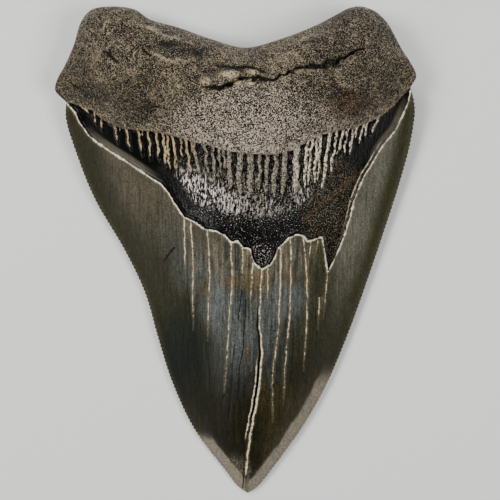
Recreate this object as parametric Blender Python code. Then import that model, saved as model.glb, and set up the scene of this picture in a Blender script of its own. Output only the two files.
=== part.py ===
"""A fossil megalodon tooth, lying on its flat outer face.

Frame: the origin is under the middle of the tooth, on the surface it lies on. The tip
points to -Y, the root to +Y, and the swollen inner face to +Z. The tooth grew as one
piece, so it is one closed solid. Lengths are metres; points are written in millimetres
and turned into metres by mm().
"""

import bmesh
import bpy
import numpy as np
from mathutils import Vector, noise
from mathutils.geometry import delaunay_2d_cdt

MM = 0.001


def mm(*rows):
    """Rows of millimetres as an array in metres."""
    return np.array(rows, dtype=float) * MM


# ---------------------------------------------------------------- driving dimensions

# The cutting edges, from the left shoulder down to the tip and up to the right one.
LEFT_EDGE = mm(
    (-46.4, 44.6), (-46.9, 40), (-44.4, 30), (-39.8, 17.5), (-31.8, 3), (-26.2, -9.5),
    (-22.6, -23), (-18.7, -36), (-12.5, -50), (-4, -62), (0.6, -68.2), (3.3, -70),
)
RIGHT_EDGE = mm(
    (3.3, -70), (6.1, -68.1), (10.3, -62.6), (19.3, -49.4), (26.1, -36.8), (32.4, -21),
    (36.8, -8), (41.5, 7), (46.1, 22.8), (48.6, 34), (49.2, 43), (47.6, 48.6),
)
# The root's outline, from the right shoulder over both lobes to the left shoulder.
ROOT_EDGE = mm(
    (47.6, 48.6), (49, 51.6), (47, 55.6), (45, 58.4), (43.1, 61.7), (40.6, 65.8),
    (37.6, 68.6), (33.6, 70), (30.6, 69.6), (27, 67.8), (21.1, 64.8), (12, 61.4),
    (2.6, 59.1), (-6, 61.2), (-15.2, 64.4), (-23, 66.6), (-27, 69.2), (-33.4, 70),
    (-38.6, 69.1), (-41.4, 66), (-43.5, 59.9), (-46.2, 54.4), (-48.3, 51), (-49.2, 47.8),
    (-46.4, 44.6),
)
# Where the root's bone ends on the inner face.
ROOT_LINE = mm(
    (-46.4, 44.6), (-39, 42.5), (-35.5, 40), (-31, 38), (-21, 37), (-12, 35), (-4, 33),
    (0, 32), (10.5, 31.5), (15, 32.5), (22, 36), (33, 38.5), (40, 41.5), (47.6, 48.6),
)
# The scalloped rim of the enamel on the inner face.
ENAMEL_LINE = mm(
    (-46.4, 44.6), (-44, 42.2), (-42.5, 39), (-40, 35.6), (-37, 33.4), (-33, 31), (-29, 28.8),
    (-25.6, 26.7), (-22.8, 25), (-19.7, 23.3), (-17.6, 20.8), (-15.9, 17.9), (-13.7, 14.5),
    (-11, 13.4), (-8, 11.4), (-5, 11), (-2.6, 9.8), (-1, 8), (0.7, 8.4), (2.2, 6.6), (4, 6.2),
    (4.7, 3.4), (5.4, 1.9), (7.1, 0.5), (9.2, 1.6), (10.5, 3.8), (11.1, 6), (12.6, 7.4),
    (14.3, 9), (16.4, 9.9), (18.2, 9.4), (19.5, 7.7), (21, 8), (22.6, 8.6), (23.6, 8.5),
    (24.3, 4.8), (25.4, -1.5), (26.9, 1.6), (28.6, 5.5), (30, 9.2), (31.2, 13.5),
    (32, 17.5), (33.2, 21), (34.9, 25), (36.5, 27.2), (38.6, 31), (40.8, 34), (43.5, 37),
    (45.3, 40.8), (46.9, 44.6), (47.6, 48.6),
)
# The plainer rim of the enamel on the outer face.
OUTER_ENAMEL_LINE = mm(
    (-46.4, 44.6), (-40, 41), (-27, 36), (-14, 30), (-4, 25), (2, 23), (8, 25.5), (17, 31),
    (29, 36.5), (41, 43), (47.6, 48.6),
)
# The ridges in the bare band between root and enamel: where each meets the root line.
RIDGES_X = mm(
    -40.5, -38.2, -36, -34, -32.3, -30.8, -28.5, -25.4, -22.9, -20.4, -18.9, -17.6, -16,
    -13.8, -12.1, -10.6, -8, -5.7, -4.2, -2.6, -1, 1, 3.3, 5.6, 7.8, 10, 12.3, 14.5, 16.8,
    19.1, 21.4, 24, 26.3, 28.3, 29.9, 31.6, 33.3, 35, 36.7, 39, 41.3,
)
# Drying cracks down the inner enamel, each from its top.
CRACKS = (
    mm((-13.6, 13.5), (-14, -3.5)),
    mm((-12, 12.8), (-11.6, 3.7), (-12, -10), (-11.8, -18.5)),
    mm((-7.3, 10.2), (-7.1, 2), (-7.3, -7), (-7.9, -21)),
    mm((-1.2, 7), (-1, 0), (-1.1, -5.6), (-1.8, -13.6), (-2.3, -23), (-3.5, -36.7)),
    mm((2, 5.6), (1.7, -5)),
    mm((4.4, 1), (4.3, -4.2), (4.1, -13.3)),
    mm((8.8, -0.4), (8.6, -6.5), (8.4, -11)),
    mm((12, 4.4), (12.1, -4.4), (11.9, -11.2), (11.3, -20.6), (10.3, -30), (10.4, -46)),
    mm((14.7, 6), (14.9, -2.3), (14.8, -11.4), (14, -23), (13.7, -30.5), (13.2, -40.5)),
    mm((18, 8.4), (19, 2), (19.6, -10), (19.3, -24), (19, -31)),
    mm((22.3, 7.2), (21.2, 2.7)),
    mm((25.2, -3.4), (24.8, -10.8), (24.6, -16)),
    mm((23.2, -9), (22.9, -18.6)),
)
# The long split down the middle of the crown, and the one across the root.
MAIN_SPLIT = mm(
    (6.6, -0.8), (6.2, -9), (6.1, -15.6), (6.6, -20.3), (6.5, -27.5), (5.4, -38), (4.3, -44.6),
    (3, -54.5), (1.9, -65),
)
ROOT_SPLIT = mm(
    (-7.2, 48.3), (-3.2, 48.1), (0, 50.2), (3.3, 50.7), (9, 50.6), (11.8, 51.2), (16.3, 52.9),
    (23.2, 54.3), (29.4, 56.6), (33.5, 58.6),
)
# Pits in the root's inner and outer faces, each as x, y and radius.
INNER_PITS = mm((3.5, 40.5, 1.6), (-24, 55, 1.4), (27, 61, 1.3), (-13, 44, 1.1), (36, 51, 1.2))
OUTER_PITS = mm(
    (-30, 57, 2), (31, 55, 2.2), (-36, 48, 1.6), (37, 60, 1.5), (22, 60, 1.4), (-20, 60, 1.7),
    (2, 53, 1.8),
)

# Heights along the tooth, as pairs of y and height.
EDGE_HEIGHT = mm(
    (-70, 1.4), (-62, 1.9), (-40, 2.3), (0, 2.8), (25, 4), (38, 5.6), (46, 7.6), (54, 9),
    (62, 9.6), (70, 9),
)
CROWN_SWELL = mm(
    (-70, 0), (-66, 1.9), (-60, 3.9), (-50, 7), (-35, 10.8), (-20, 13.8), (0, 17.3),
    (15, 20.2), (30, 22.6), (45, 24), (70, 24),
)
OUTER_ARCH = mm((-70, 1.4), (-62, 0.3), (-52, 0), (-40, 0.3), (-15, 1), (10, 0.8), (30, 0), (70, 0))
CROWN_SECTION_POWER = 1.25
OUTER_SECTION_POWER = 2.6

ROOT_CREST_HEIGHT = 31.5 * MM
ROOT_CREST_X = 1 * MM
ROOT_CREST_REACH = 56 * MM
ROOT_LOBE_HEIGHT = 11 * MM
ROOT_ROUNDING = 22 * MM
ROOT_ROUNDING_POWER = 1.8
ROOT_BLEND = 14 * MM
SOFTENING = 0.55
SOFTENING_TURNS = 8
OUTER_ROUNDING = 7 * MM
OUTER_BLEND = 6 * MM

BAND_DEPTH = 1 * MM
LEDGE_WIDTH = 0.8 * MM
OUTER_LEDGE = 0.6 * MM
RIDGE_HEIGHT = 0.8 * MM
RIDGE_FADE = 4 * MM
RIDGE_FAN = 7.0
RIDGE_FAN_X = 3 * MM
RIDGE_FAN_Y = 32 * MM
CRACK_DEPTH = 0.4 * MM
CRACK_HALF_WIDTH = 0.5 * MM
SPLIT_DEPTH = 0.8 * MM
SPLIT_HALF_WIDTH = 0.6 * MM
ROOT_SPLIT_DEPTH = 2.6 * MM
ROOT_SPLIT_HALF_WIDTH = 1 * MM
PIT_DEPTH = 1 * MM
PIT_SIDES = 6
LUMP_SIZE = 8 * MM
LUMP_HEIGHT = 0.7 * MM

SERRATION_PITCH = 1.15 * MM
SERRATION_DEPTH = 0.3 * MM
SERRATION_FADE = 5 * MM

# The points' spacing. A face's rim rows are the depths of the rows along the root, their
# step, the depths of the rows along the cutting edges, and their step.
INNER_RIM_ROWS = (mm(1.3, 2.7, 4.2, 6), 2.2 * MM, mm(1.1, 2.7), 1.15 * MM)
OUTER_RIM_ROWS = (mm(1.6, 3.4, 5.6), 2.6 * MM, mm(1.2, 3.2), 1.25 * MM)
ROOT_EDGE_STEP = 2.2 * MM
ROOT_SPACING = 2.3 * MM
INNER_SPACING = 3.6 * MM
OUTER_ROOT_SPACING = 3.2 * MM
OUTER_SPACING = 4.6 * MM
ROOT_LINE_STEP = 1.8 * MM
OUTER_LINE_STEP = 2.6 * MM
CRACK_STEP = 4.5 * MM
RIDGE_STEP = 3.4 * MM
RIDGE_SEARCH_TOP = 46 * MM
RIDGE_SEARCH_STEP = 0.25 * MM
SHORTEST_RIDGE = 1 * MM
RIM_CLEARANCE = 0.6
POINT_CLEARANCE = 0.62
ROW_FOLD_LIMIT = 0.93
RIM_PULL_DEPTH = 6 * MM
RIM_PULL = 0.93
RIM_PULL_START_Y = 46 * MM
RIM_PULL_FULL_Y = 52 * MM

STONE_COLOUR = (0.055, 0.05, 0.042, 1)
STONE_ROUGHNESS = 0.42


# ---------------------------------------------------------------- curves and distances


def smooth_curve(points, per_span=14):
    """A centripetal Catmull-Rom curve through the points."""
    first = 2 * points[0] - points[1]
    last = 2 * points[-1] - points[-2]
    ring = np.vstack([first, points, last])
    spans = []
    for a, b, c, d in zip(ring, ring[1:], ring[2:], ring[3:]):
        t1 = np.linalg.norm(b - a) ** 0.5
        t2 = t1 + np.linalg.norm(c - b) ** 0.5
        t3 = t2 + np.linalg.norm(d - c) ** 0.5
        t = np.linspace(t1, t2, per_span, endpoint=False)[:, None]
        ab = a + (b - a) * t / t1
        bc = b + (c - b) * (t - t1) / (t2 - t1)
        cd = c + (d - c) * (t - t2) / (t3 - t2)
        abc = ab + (bc - ab) * t / t2
        bcd = bc + (cd - bc) * (t - t1) / (t3 - t1)
        spans.append(abc + (bcd - abc) * (t - t1) / (t2 - t1))
    return np.vstack(spans + [points[-1][None]])


def along(path, step):
    """Points spaced evenly along a path, about one step apart, ends kept."""
    lengths = np.linalg.norm(np.diff(path, axis=0), axis=1)
    travel = np.concatenate([[0], np.cumsum(lengths)])
    count = max(2, int(round(travel[-1] / step)) + 1)
    at = np.linspace(0, travel[-1], count)
    return np.stack([np.interp(at, travel, path[:, 0]), np.interp(at, travel, path[:, 1])], axis=1)


def sideways(path):
    """The unit direction to the left of a path at each of its points."""
    run = np.gradient(path, axis=0)
    run /= np.linalg.norm(run, axis=1)[:, None]
    return np.stack([-run[:, 1], run[:, 0]], axis=1)


def nearest(points, path):
    """Each point's distance to a path, and the closest place on it."""
    start = path[:-1]
    run = path[1:] - start
    squared = np.maximum((run**2).sum(axis=1), 1e-18)
    distances, feet = [], []
    for block in np.array_split(points, max(1, len(points) // 2000)):
        offset = block[:, None] - start[None]
        t = np.clip((offset * run).sum(axis=2) / squared, 0, 1)
        foot = start + t[..., None] * run
        gap = np.linalg.norm(block[:, None] - foot, axis=2)
        best = gap.argmin(axis=1)
        row = np.arange(len(block))
        distances.append(gap[row, best])
        feet.append(foot[row, best])
    return np.concatenate(distances), np.vstack(feet)


def inside(points, loop):
    """Whether each point lies inside a closed loop."""
    x, y = points[:, :1], points[:, 1:]
    x1, y1 = loop.T
    x2, y2 = np.roll(loop, -1, axis=0).T
    crosses = (y1 > y) != (y2 > y)
    rise = np.where(y2 == y1, 1, y2 - y1)
    left_of = x < (x2 - x1) * (y - y1) / rise + x1
    return (crosses & left_of).sum(axis=1) % 2 == 1


def eased(value, low, high):
    """0 below low, 1 above high, smooth between."""
    t = np.clip((value - low) / (high - low), 0, 1)
    return t * t * (3 - 2 * t)


def read_height(y, pairs):
    """A height that varies smoothly along the tooth."""
    curve = smooth_curve(pairs)
    return np.interp(y, curve[:, 0], curve[:, 1])


LEFT_CURVE = smooth_curve(LEFT_EDGE)
RIGHT_CURVE = smooth_curve(RIGHT_EDGE)
ROOT_CURVE = smooth_curve(ROOT_EDGE)
OUTLINE = np.vstack([LEFT_CURVE[:-1], RIGHT_CURVE[:-1], ROOT_CURVE])
ROOT_LINE_CURVE = smooth_curve(ROOT_LINE)
OUTER_LINE_CURVE = smooth_curve(OUTER_ENAMEL_LINE)
BAND_LOOP = np.vstack([ROOT_LINE_CURVE, ENAMEL_LINE[::-1]])


# ---------------------------------------------------------------- the two faces' heights


def edge_height(points):
    return read_height(points[:, 1], EDGE_HEIGHT)


def across_crown(points):
    """-1 at the left cutting edge, 0 midway, 1 at the right one."""
    y = points[:, 1]
    down = LEFT_CURVE[LEFT_CURVE[:, 1].argsort()]
    left = np.interp(y, down[:, 1], down[:, 0])
    right = np.interp(y, RIGHT_CURVE[:, 1], RIGHT_CURVE[:, 0])
    half = np.maximum((right - left) / 2, 0.2 * MM)
    return np.clip((points[:, 0] - (left + right) / 2) / half, -1, 1)


def crown_height(points):
    swell = read_height(points[:, 1], CROWN_SWELL)
    section = (1 - across_crown(points) ** 2) ** CROWN_SECTION_POWER
    return edge_height(points) + swell * section


def rounded(share):
    """A rise from 0 to 1 that starts steep and ends level."""
    left = 1 - np.clip(share, 0, 1)
    return (1 - left**ROOT_ROUNDING_POWER) ** (1 / ROOT_ROUNDING_POWER)


def softened_rise(points, rounding):
    """How far the surface has risen from the rim, with no crease along the lobes' middles."""
    rim, _ = nearest(points, OUTLINE)
    total = rounded(rim / rounding)
    for turn in np.arange(SOFTENING_TURNS) * 2 * np.pi / SOFTENING_TURNS:
        step = np.array([np.cos(turn), np.sin(turn)])
        gap, _ = nearest(points + SOFTENING * rim[:, None] * step, OUTLINE)
        total += rounded(gap / rounding)
    return total / (SOFTENING_TURNS + 1)


def root_height(points):
    """The root's rounded bulk: a crest that sinks towards the lobes."""
    rise = softened_rise(points, ROOT_ROUNDING)
    sideways_share = np.clip((points[:, 0] - ROOT_CREST_X) / ROOT_CREST_REACH, -1, 1)
    crest = ROOT_LOBE_HEIGHT + (ROOT_CREST_HEIGHT - ROOT_LOBE_HEIGHT) * (1 - sideways_share**2)
    low = edge_height(points)
    return low + (crest - low) * rise


def above_line(points, line):
    """How far each point lies on the root's side of a line, or 0."""
    gap, _ = nearest(points, line)
    line_y = np.interp(points[:, 0], line[:, 0], line[:, 1])
    return np.where(points[:, 1] > line_y, gap, 0)


def groove(points, path, half_width):
    """1 along a path, falling to 0 at the half width."""
    gap, _ = nearest(points, path)
    return np.clip(1 - gap / half_width, 0, 1)


def pits(points, places):
    depth = np.zeros(len(points))
    for x, y, radius in places:
        gap = np.hypot(points[:, 0] - x, points[:, 1] - y)
        depth = np.maximum(depth, PIT_DEPTH * np.clip(1 - (gap / radius) ** 2, 0, 1))
    return depth


def lumps(points, shift):
    """Low rolling unevenness of the bone."""
    values = [noise.noise(Vector((x / LUMP_SIZE, y / LUMP_SIZE, shift))) for x, y in points]
    return LUMP_HEIGHT * np.array(values)


def fanned_x(points):
    """Where a ridge through each point meets the root line."""
    spread = 1 + RIDGE_FAN * (RIDGE_FAN_Y - points[:, 1])
    return RIDGE_FAN_X + (points[:, 0] - RIDGE_FAN_X) * spread


def valleys_x():
    return (RIDGES_X[:-1] + RIDGES_X[1:]) / 2


def ridge_wave(points):
    """1 on a ridge's crest, 0 in the valley beside it."""
    places = np.concatenate([RIDGES_X, valleys_x()])
    heights = np.concatenate([np.ones(len(RIDGES_X)), np.zeros(len(RIDGES_X) - 1)])
    order = places.argsort()
    return np.interp(fanned_x(points), places[order], heights[order])


def band_relief(points):
    """The bare band lies lower than root and enamel, and carries the ridges."""
    to_root, _ = nearest(points, ROOT_LINE_CURVE)
    to_enamel, _ = nearest(points, ENAMEL_LINE)
    border = np.minimum(to_root, to_enamel)
    sunk = inside(points, BAND_LOOP) * eased(border, 0, LEDGE_WIDTH)
    strength = eased(to_enamel, RIDGE_FADE / 3, RIDGE_FADE)
    return sunk * (RIDGE_HEIGHT * ridge_wave(points) * strength - BAND_DEPTH)


def inner_height(points):
    """Height of the swollen inner face, which shows from above."""
    up_root = above_line(points, ROOT_LINE_CURVE)
    share = 1 - (1 - np.clip(up_root / ROOT_BLEND, 0, 1)) ** 2
    crown = crown_height(points)
    height = crown + (root_height(points) - crown) * share
    rim, _ = nearest(points, OUTLINE)
    on_root = eased(up_root, 0, LEDGE_WIDTH) * eased(rim, 0, RIM_PULL_DEPTH)
    height += on_root * (lumps(points, 0.3) - pits(points, INNER_PITS))
    height -= ROOT_SPLIT_DEPTH * groove(points, smooth_curve(ROOT_SPLIT), ROOT_SPLIT_HALF_WIDTH)
    height += band_relief(points)
    for crack in CRACKS:
        height -= CRACK_DEPTH * groove(points, crack, CRACK_HALF_WIDTH)
    height -= SPLIT_DEPTH * groove(points, MAIN_SPLIT, SPLIT_HALF_WIDTH)
    return height


def outer_height(points):
    """Height of the flat outer face, which the tooth lies on."""
    edge = edge_height(points)
    arch = read_height(points[:, 1], OUTER_ARCH)
    crown = arch + (edge - arch) * np.abs(across_crown(points)) ** OUTER_SECTION_POWER
    rim, _ = nearest(points, OUTLINE)
    root = edge * (1 - rounded(rim / OUTER_ROUNDING)) + pits(points, OUTER_PITS)
    up_root = above_line(points, OUTER_LINE_CURVE)
    height = crown + (root - crown) * eased(up_root, 0, OUTER_BLEND)
    sunk = eased(up_root, 0, LEDGE_WIDTH) * (1 - eased(up_root, 2 * LEDGE_WIDTH, OUTER_BLEND))
    height += OUTER_LEDGE * sunk * eased(rim, 0, OUTER_ROUNDING)
    return np.maximum(height, 0)


# ---------------------------------------------------------------- the points of each face


def serrated(curve):
    """A cutting edge with a small notch at every pitch, dying out at its ends."""
    points = along(curve, SERRATION_PITCH / 2)
    notch = np.arange(len(points)) % 2
    travel = np.arange(len(points)) * SERRATION_PITCH / 2
    from_end = np.minimum(travel, travel[-1] - travel)
    depth = SERRATION_DEPTH * notch * eased(from_end, 0, SERRATION_FADE)
    return points + sideways(points) * depth[:, None]


def outline_points():
    """The rim of the tooth, once round, with the serrations cut in."""
    left = serrated(LEFT_CURVE)
    right = serrated(RIGHT_CURVE)
    root = along(ROOT_CURVE, ROOT_EDGE_STEP)
    return np.vstack([left[:-1], right[:-1], root[:-1]])


def rim_rows(depths, step, blade_depths, blade_step):
    """Rows of points that follow the rim, so that its rounding is smooth."""
    rows = []
    for depth in depths:
        path = along(ROOT_CURVE, step)
        rows.append((path + sideways(path) * depth, depth))
    for depth in blade_depths:
        for curve in (LEFT_CURVE, RIGHT_CURVE):
            path = along(curve, blade_step * (1 + depth / blade_depths[-1]))[1:-1]
            rows.append((path + sideways(path) * depth, depth))
    kept = []
    for points, depth in rows:
        gap, _ = nearest(points, OUTLINE)
        kept.append(points[(gap > ROW_FOLD_LIMIT * depth) & inside(points, OUTLINE)])
    return np.vstack(kept)


def staggered(spacing):
    """An even field of points over the whole outline's box."""
    low, high = OUTLINE.min(axis=0), OUTLINE.max(axis=0)
    rows = []
    for number, y in enumerate(np.arange(low[1], high[1], spacing * 0.866)):
        x = np.arange(low[0] + (number % 2) * spacing / 2, high[0], spacing)
        rows.append(np.stack([x, np.full(len(x), y)], axis=1))
    return np.vstack(rows)


def thinned(candidates, fixed, spacing):
    """The candidates inside the rim that keep clear of it and of the fixed points."""
    gap, _ = nearest(candidates, OUTLINE)
    candidates = candidates[inside(candidates, OUTLINE) & (gap > RIM_CLEARANCE * spacing)]
    gaps = [np.linalg.norm(fixed - point, axis=1).min() for point in candidates]
    return candidates[np.array(gaps) > POINT_CLEARANCE * spacing]


def ledge_rows(path, side):
    """A row on a line and one at the foot of its ledge, to the left (1) or right (-1)."""
    path = path[1:-1]
    return [path, path + side * LEDGE_WIDTH * sideways(path)]


def with_middles(path):
    """A path's own points and the middles between them."""
    both = np.empty((2 * len(path) - 1, 2))
    both[::2] = path
    both[1::2] = (path[:-1] + path[1:]) / 2
    return both


def crack_rows(path, half_width):
    """Both lips and the bottom of a crack."""
    path = along(path, CRACK_STEP)
    across = sideways(path) * half_width
    return [path - across, path, path + across]


def ridge_rows():
    """The crest and the valley lines of the band's ridges."""
    rows = []
    for start_x in np.sort(np.concatenate([RIDGES_X, valleys_x()])):
        y = np.arange(RIDGE_SEARCH_TOP, 0, -RIDGE_SEARCH_STEP)
        x = RIDGE_FAN_X + (start_x - RIDGE_FAN_X) / (1 + RIDGE_FAN * (RIDGE_FAN_Y - y))
        path = np.stack([x, y], axis=1)
        to_line, _ = nearest(path, ROOT_LINE_CURVE)
        to_enamel, _ = nearest(path, ENAMEL_LINE)
        in_band = inside(path, BAND_LOOP)
        path = path[in_band & (to_line > LEDGE_WIDTH) & (to_enamel > RIDGE_FADE / 2)]
        if len(path) * RIDGE_SEARCH_STEP > SHORTEST_RIDGE:
            rows.append(along(path, RIDGE_STEP))
    return rows


def pit_points(places):
    """Each pit's middle and two rings round it."""
    points = []
    for x, y, radius in places:
        points.append((x, y))
        for turn in np.arange(PIT_SIDES) * 2 * np.pi / PIT_SIDES:
            for share in (0.6, 1):
                reach = radius * share
                points.append((x + reach * np.cos(turn), y + reach * np.sin(turn)))
    return np.array(points)


def inner_rows():
    rows = ledge_rows(along(ROOT_LINE_CURVE, ROOT_LINE_STEP), -1)
    rows += ledge_rows(with_middles(ENAMEL_LINE), 1)
    rows += ridge_rows()
    for crack in CRACKS:
        rows += crack_rows(crack, CRACK_HALF_WIDTH)
    rows += crack_rows(MAIN_SPLIT, SPLIT_HALF_WIDTH)
    rows += crack_rows(smooth_curve(ROOT_SPLIT), ROOT_SPLIT_HALF_WIDTH)
    return rows


def face_fill(fixed, line, root_spacing, crown_spacing):
    """Even points between the features, closer on the root than on the crown."""
    root = staggered(root_spacing)
    root = root[above_line(root, line) > 0]
    crown = staggered(crown_spacing)
    crown = crown[above_line(crown, line) == 0]
    return np.vstack([thinned(root, fixed, root_spacing), thinned(crown, fixed, crown_spacing)])


# ---------------------------------------------------------------- the solid


def pulled_to_rim(points):
    """Move points near the root's rim outwards, where the surface turns steep."""
    gap, foot = nearest(points, OUTLINE)
    share = np.clip(gap / RIM_PULL_DEPTH, 0, 1)
    shift = RIM_PULL * (1 - share) ** 2
    shift *= eased(points[:, 1], RIM_PULL_START_Y, RIM_PULL_FULL_Y)
    return points + (foot - points) * shift[:, None]


def triangulate(rim, rows, loose):
    """Triangles over one face, and where each of the rim's points comes in them."""
    edges = [(at, (at + 1) % len(rim)) for at in range(len(rim))]
    total = len(rim)
    for row in rows:
        edges += [(total + at, total + at + 1) for at in range(len(row) - 1)]
        total += len(row)
    flat = np.vstack([rim] + rows + [loose])
    found = delaunay_2d_cdt([Vector(point) for point in flat], edges, [], 1, 1e-7)
    points = np.array([tuple(point) for point in found[0]])
    order = {old: new for new, olds in enumerate(found[3]) for old in olds}
    return points, found[2], [order[at] for at in range(len(rim))]


def chord_middles(points, triangles, rim_at):
    """The middles of inner edges that join two rim points: they would fold the solid flat."""
    place = {at: number for number, at in enumerate(rim_at)}
    middles = {}
    for triangle in triangles:
        for a, b in zip(triangle, triangle[1:] + triangle[:1]):
            if a in place and b in place:
                apart = abs(place[a] - place[b])
                if apart not in (1, len(rim_at) - 1):
                    middles[min(a, b), max(a, b)] = (points[a] + points[b]) / 2
    return list(middles.values())


def face_data(rim, rows, places, spacing, line, rim_layout, height):
    """One face's points with their heights, its triangles, and where the rim comes in them."""
    loose = np.vstack([rim_rows(*rim_layout), pit_points(places)])
    fixed = np.vstack([rim, loose] + rows)
    loose = np.vstack([loose, face_fill(fixed, line, *spacing)])
    points, triangles, rim_at = triangulate(rim, rows, loose)
    middles = chord_middles(points, triangles, rim_at)
    while middles:
        loose = np.vstack([loose, middles])
        points, triangles, rim_at = triangulate(rim, rows, loose)
        middles = chord_middles(points, triangles, rim_at)
    placed = pulled_to_rim(points)
    return placed, height(placed), triangles, rim_at


def add_face(mesh, rim_verts, data, upward):
    """Put one face's triangles into the mesh, joined at the shared rim."""
    points, heights, triangles, rim_at = data
    verts = [None] * len(points)
    for vert, at in zip(rim_verts, rim_at):
        verts[at] = vert
    for at, vert in enumerate(verts):
        if vert is None:
            verts[at] = mesh.verts.new((*points[at], heights[at]))
    for triangle in triangles:
        corners = [verts[at] for at in triangle]
        mesh.faces.new(corners if upward else corners[::-1])


def tooth_mesh():
    rim = outline_points()
    inner = face_data(
        rim, inner_rows(), INNER_PITS, (ROOT_SPACING, INNER_SPACING),
        ROOT_LINE_CURVE, INNER_RIM_ROWS, inner_height,
    )
    outer = face_data(
        rim, ledge_rows(along(OUTER_LINE_CURVE, OUTER_LINE_STEP), 1), OUTER_PITS,
        (OUTER_ROOT_SPACING, OUTER_SPACING), OUTER_LINE_CURVE, OUTER_RIM_ROWS, outer_height,
    )
    mesh = bmesh.new()
    rim_verts = [mesh.verts.new((x, y, z)) for (x, y), z in zip(rim, edge_height(rim))]
    add_face(mesh, rim_verts, inner, True)
    add_face(mesh, rim_verts, outer, False)
    bmesh.ops.recalc_face_normals(mesh, faces=mesh.faces)
    return mesh


def stone():
    material = bpy.data.materials.new("fossil tooth stone")
    material.use_nodes = True
    shader = material.node_tree.nodes["Principled BSDF"]
    shader.inputs["Base Color"].default_value = STONE_COLOUR
    shader.inputs["Roughness"].default_value = STONE_ROUGHNESS
    shader.inputs["Metallic"].default_value = 0
    return material


def make_tooth():
    mesh = tooth_mesh()
    data = bpy.data.meshes.new("tooth")
    mesh.to_mesh(data)
    mesh.free()
    data.shade_smooth()
    data.materials.append(stone())
    tooth = bpy.data.objects.new("tooth", data)
    bpy.context.scene.collection.objects.link(tooth)
    return tooth


def clear_scene():
    for old in list(bpy.data.objects):
        bpy.data.objects.remove(old, do_unlink=True)


def main():
    clear_scene()
    make_tooth()


main()
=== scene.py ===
import functools
import math

import bpy
import numpy as np
from mathutils import Matrix, Vector, kdtree, noise
from mathutils.geometry import delaunay_2d_cdt


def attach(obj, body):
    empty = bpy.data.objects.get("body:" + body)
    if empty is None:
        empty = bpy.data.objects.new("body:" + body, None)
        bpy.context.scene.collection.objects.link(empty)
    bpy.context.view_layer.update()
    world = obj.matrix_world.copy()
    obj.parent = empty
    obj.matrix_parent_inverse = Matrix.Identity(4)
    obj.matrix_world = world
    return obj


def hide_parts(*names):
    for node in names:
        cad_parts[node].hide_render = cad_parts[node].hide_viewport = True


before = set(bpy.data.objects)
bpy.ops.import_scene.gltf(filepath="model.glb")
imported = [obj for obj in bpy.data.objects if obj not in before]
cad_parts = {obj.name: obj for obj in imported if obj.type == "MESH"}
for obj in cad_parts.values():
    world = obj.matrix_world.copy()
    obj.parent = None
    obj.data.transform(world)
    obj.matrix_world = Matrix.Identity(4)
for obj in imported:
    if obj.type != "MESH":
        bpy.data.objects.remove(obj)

MM = 0.001


def mm(*rows):
    """Rows of millimetres as an array in metres."""
    return np.array(rows, dtype=float) * MM


# ================================================================ sizes of the tooth

# The cutting edges, from the left shoulder down to the tip and up to the right one.
LEFT_EDGE = mm(
    (-46.4, 44.6), (-46.9, 40), (-44.4, 30), (-39.8, 17.5), (-31.8, 3), (-26.2, -9.5),
    (-22.6, -23), (-18.7, -36), (-12.5, -50), (-4, -62), (0.6, -68.2), (3.3, -70),
)
RIGHT_EDGE = mm(
    (3.3, -70), (6.1, -68.1), (10.3, -62.6), (19.3, -49.4), (26.1, -36.8), (32.4, -21),
    (36.8, -8), (41.5, 7), (46.1, 22.8), (48.6, 34), (49.2, 43), (47.6, 48.6),
)
# The root's outline, from the right shoulder over both lobes to the left shoulder.
ROOT_EDGE = mm(
    (47.6, 48.6), (49, 51.6), (47, 55.6), (45, 58.4), (43.1, 61.7), (40.6, 65.8),
    (37.6, 68.6), (33.6, 70), (30.6, 69.6), (27, 67.8), (21.1, 64.8), (12, 61.4),
    (2.6, 59.1), (-6, 61.2), (-15.2, 64.4), (-23, 66.6), (-27, 69.2), (-33.4, 70),
    (-38.6, 69.1), (-41.4, 66), (-43.5, 59.9), (-46.2, 54.4), (-48.3, 51), (-49.2, 47.8),
    (-46.4, 44.6),
)
# Where the root's bone ends on the inner face.
ROOT_LINE = mm(
    (-46.4, 44.6), (-39, 42.5), (-35.5, 40), (-31, 38), (-21, 37), (-12, 35), (-4, 33),
    (0, 32), (10.5, 31.5), (15, 32.5), (22, 36), (33, 38.5), (40, 41.5), (47.6, 48.6),
)
# The scalloped rim of the enamel on the inner face.
ENAMEL_LINE = mm(
    (-46.4, 44.6), (-44, 42.2), (-42.5, 39), (-40, 35.6), (-37, 33.4), (-33, 31), (-29, 28.8),
    (-25.6, 26.7), (-22.8, 25), (-19.7, 23.3), (-17.6, 20.8), (-15.9, 17.9), (-13.7, 14.5),
    (-11, 13.4), (-8, 11.4), (-5, 11), (-2.6, 9.8), (-1, 8), (0.7, 8.4), (2.2, 6.6), (4, 6.2),
    (4.7, 3.4), (5.4, 1.9), (7.1, 0.5), (9.2, 1.6), (10.5, 3.8), (11.1, 6), (12.6, 7.4),
    (14.3, 9), (16.4, 9.9), (18.2, 9.4), (19.5, 7.7), (21, 8), (22.6, 8.6), (23.6, 8.5),
    (24.3, 4.8), (25.4, -1.5), (26.9, 1.6), (28.6, 5.5), (30, 9.2), (31.2, 13.5),
    (32, 17.5), (33.2, 21), (34.9, 25), (36.5, 27.2), (38.6, 31), (40.8, 34), (43.5, 37),
    (45.3, 40.8), (46.9, 44.6), (47.6, 48.6),
)
# The plainer rim of the enamel on the outer face.
OUTER_ENAMEL_LINE = mm(
    (-46.4, 44.6), (-40, 41), (-27, 36), (-14, 30), (-4, 25), (2, 23), (8, 25.5), (17, 31),
    (29, 36.5), (41, 43), (47.6, 48.6),
)
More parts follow.
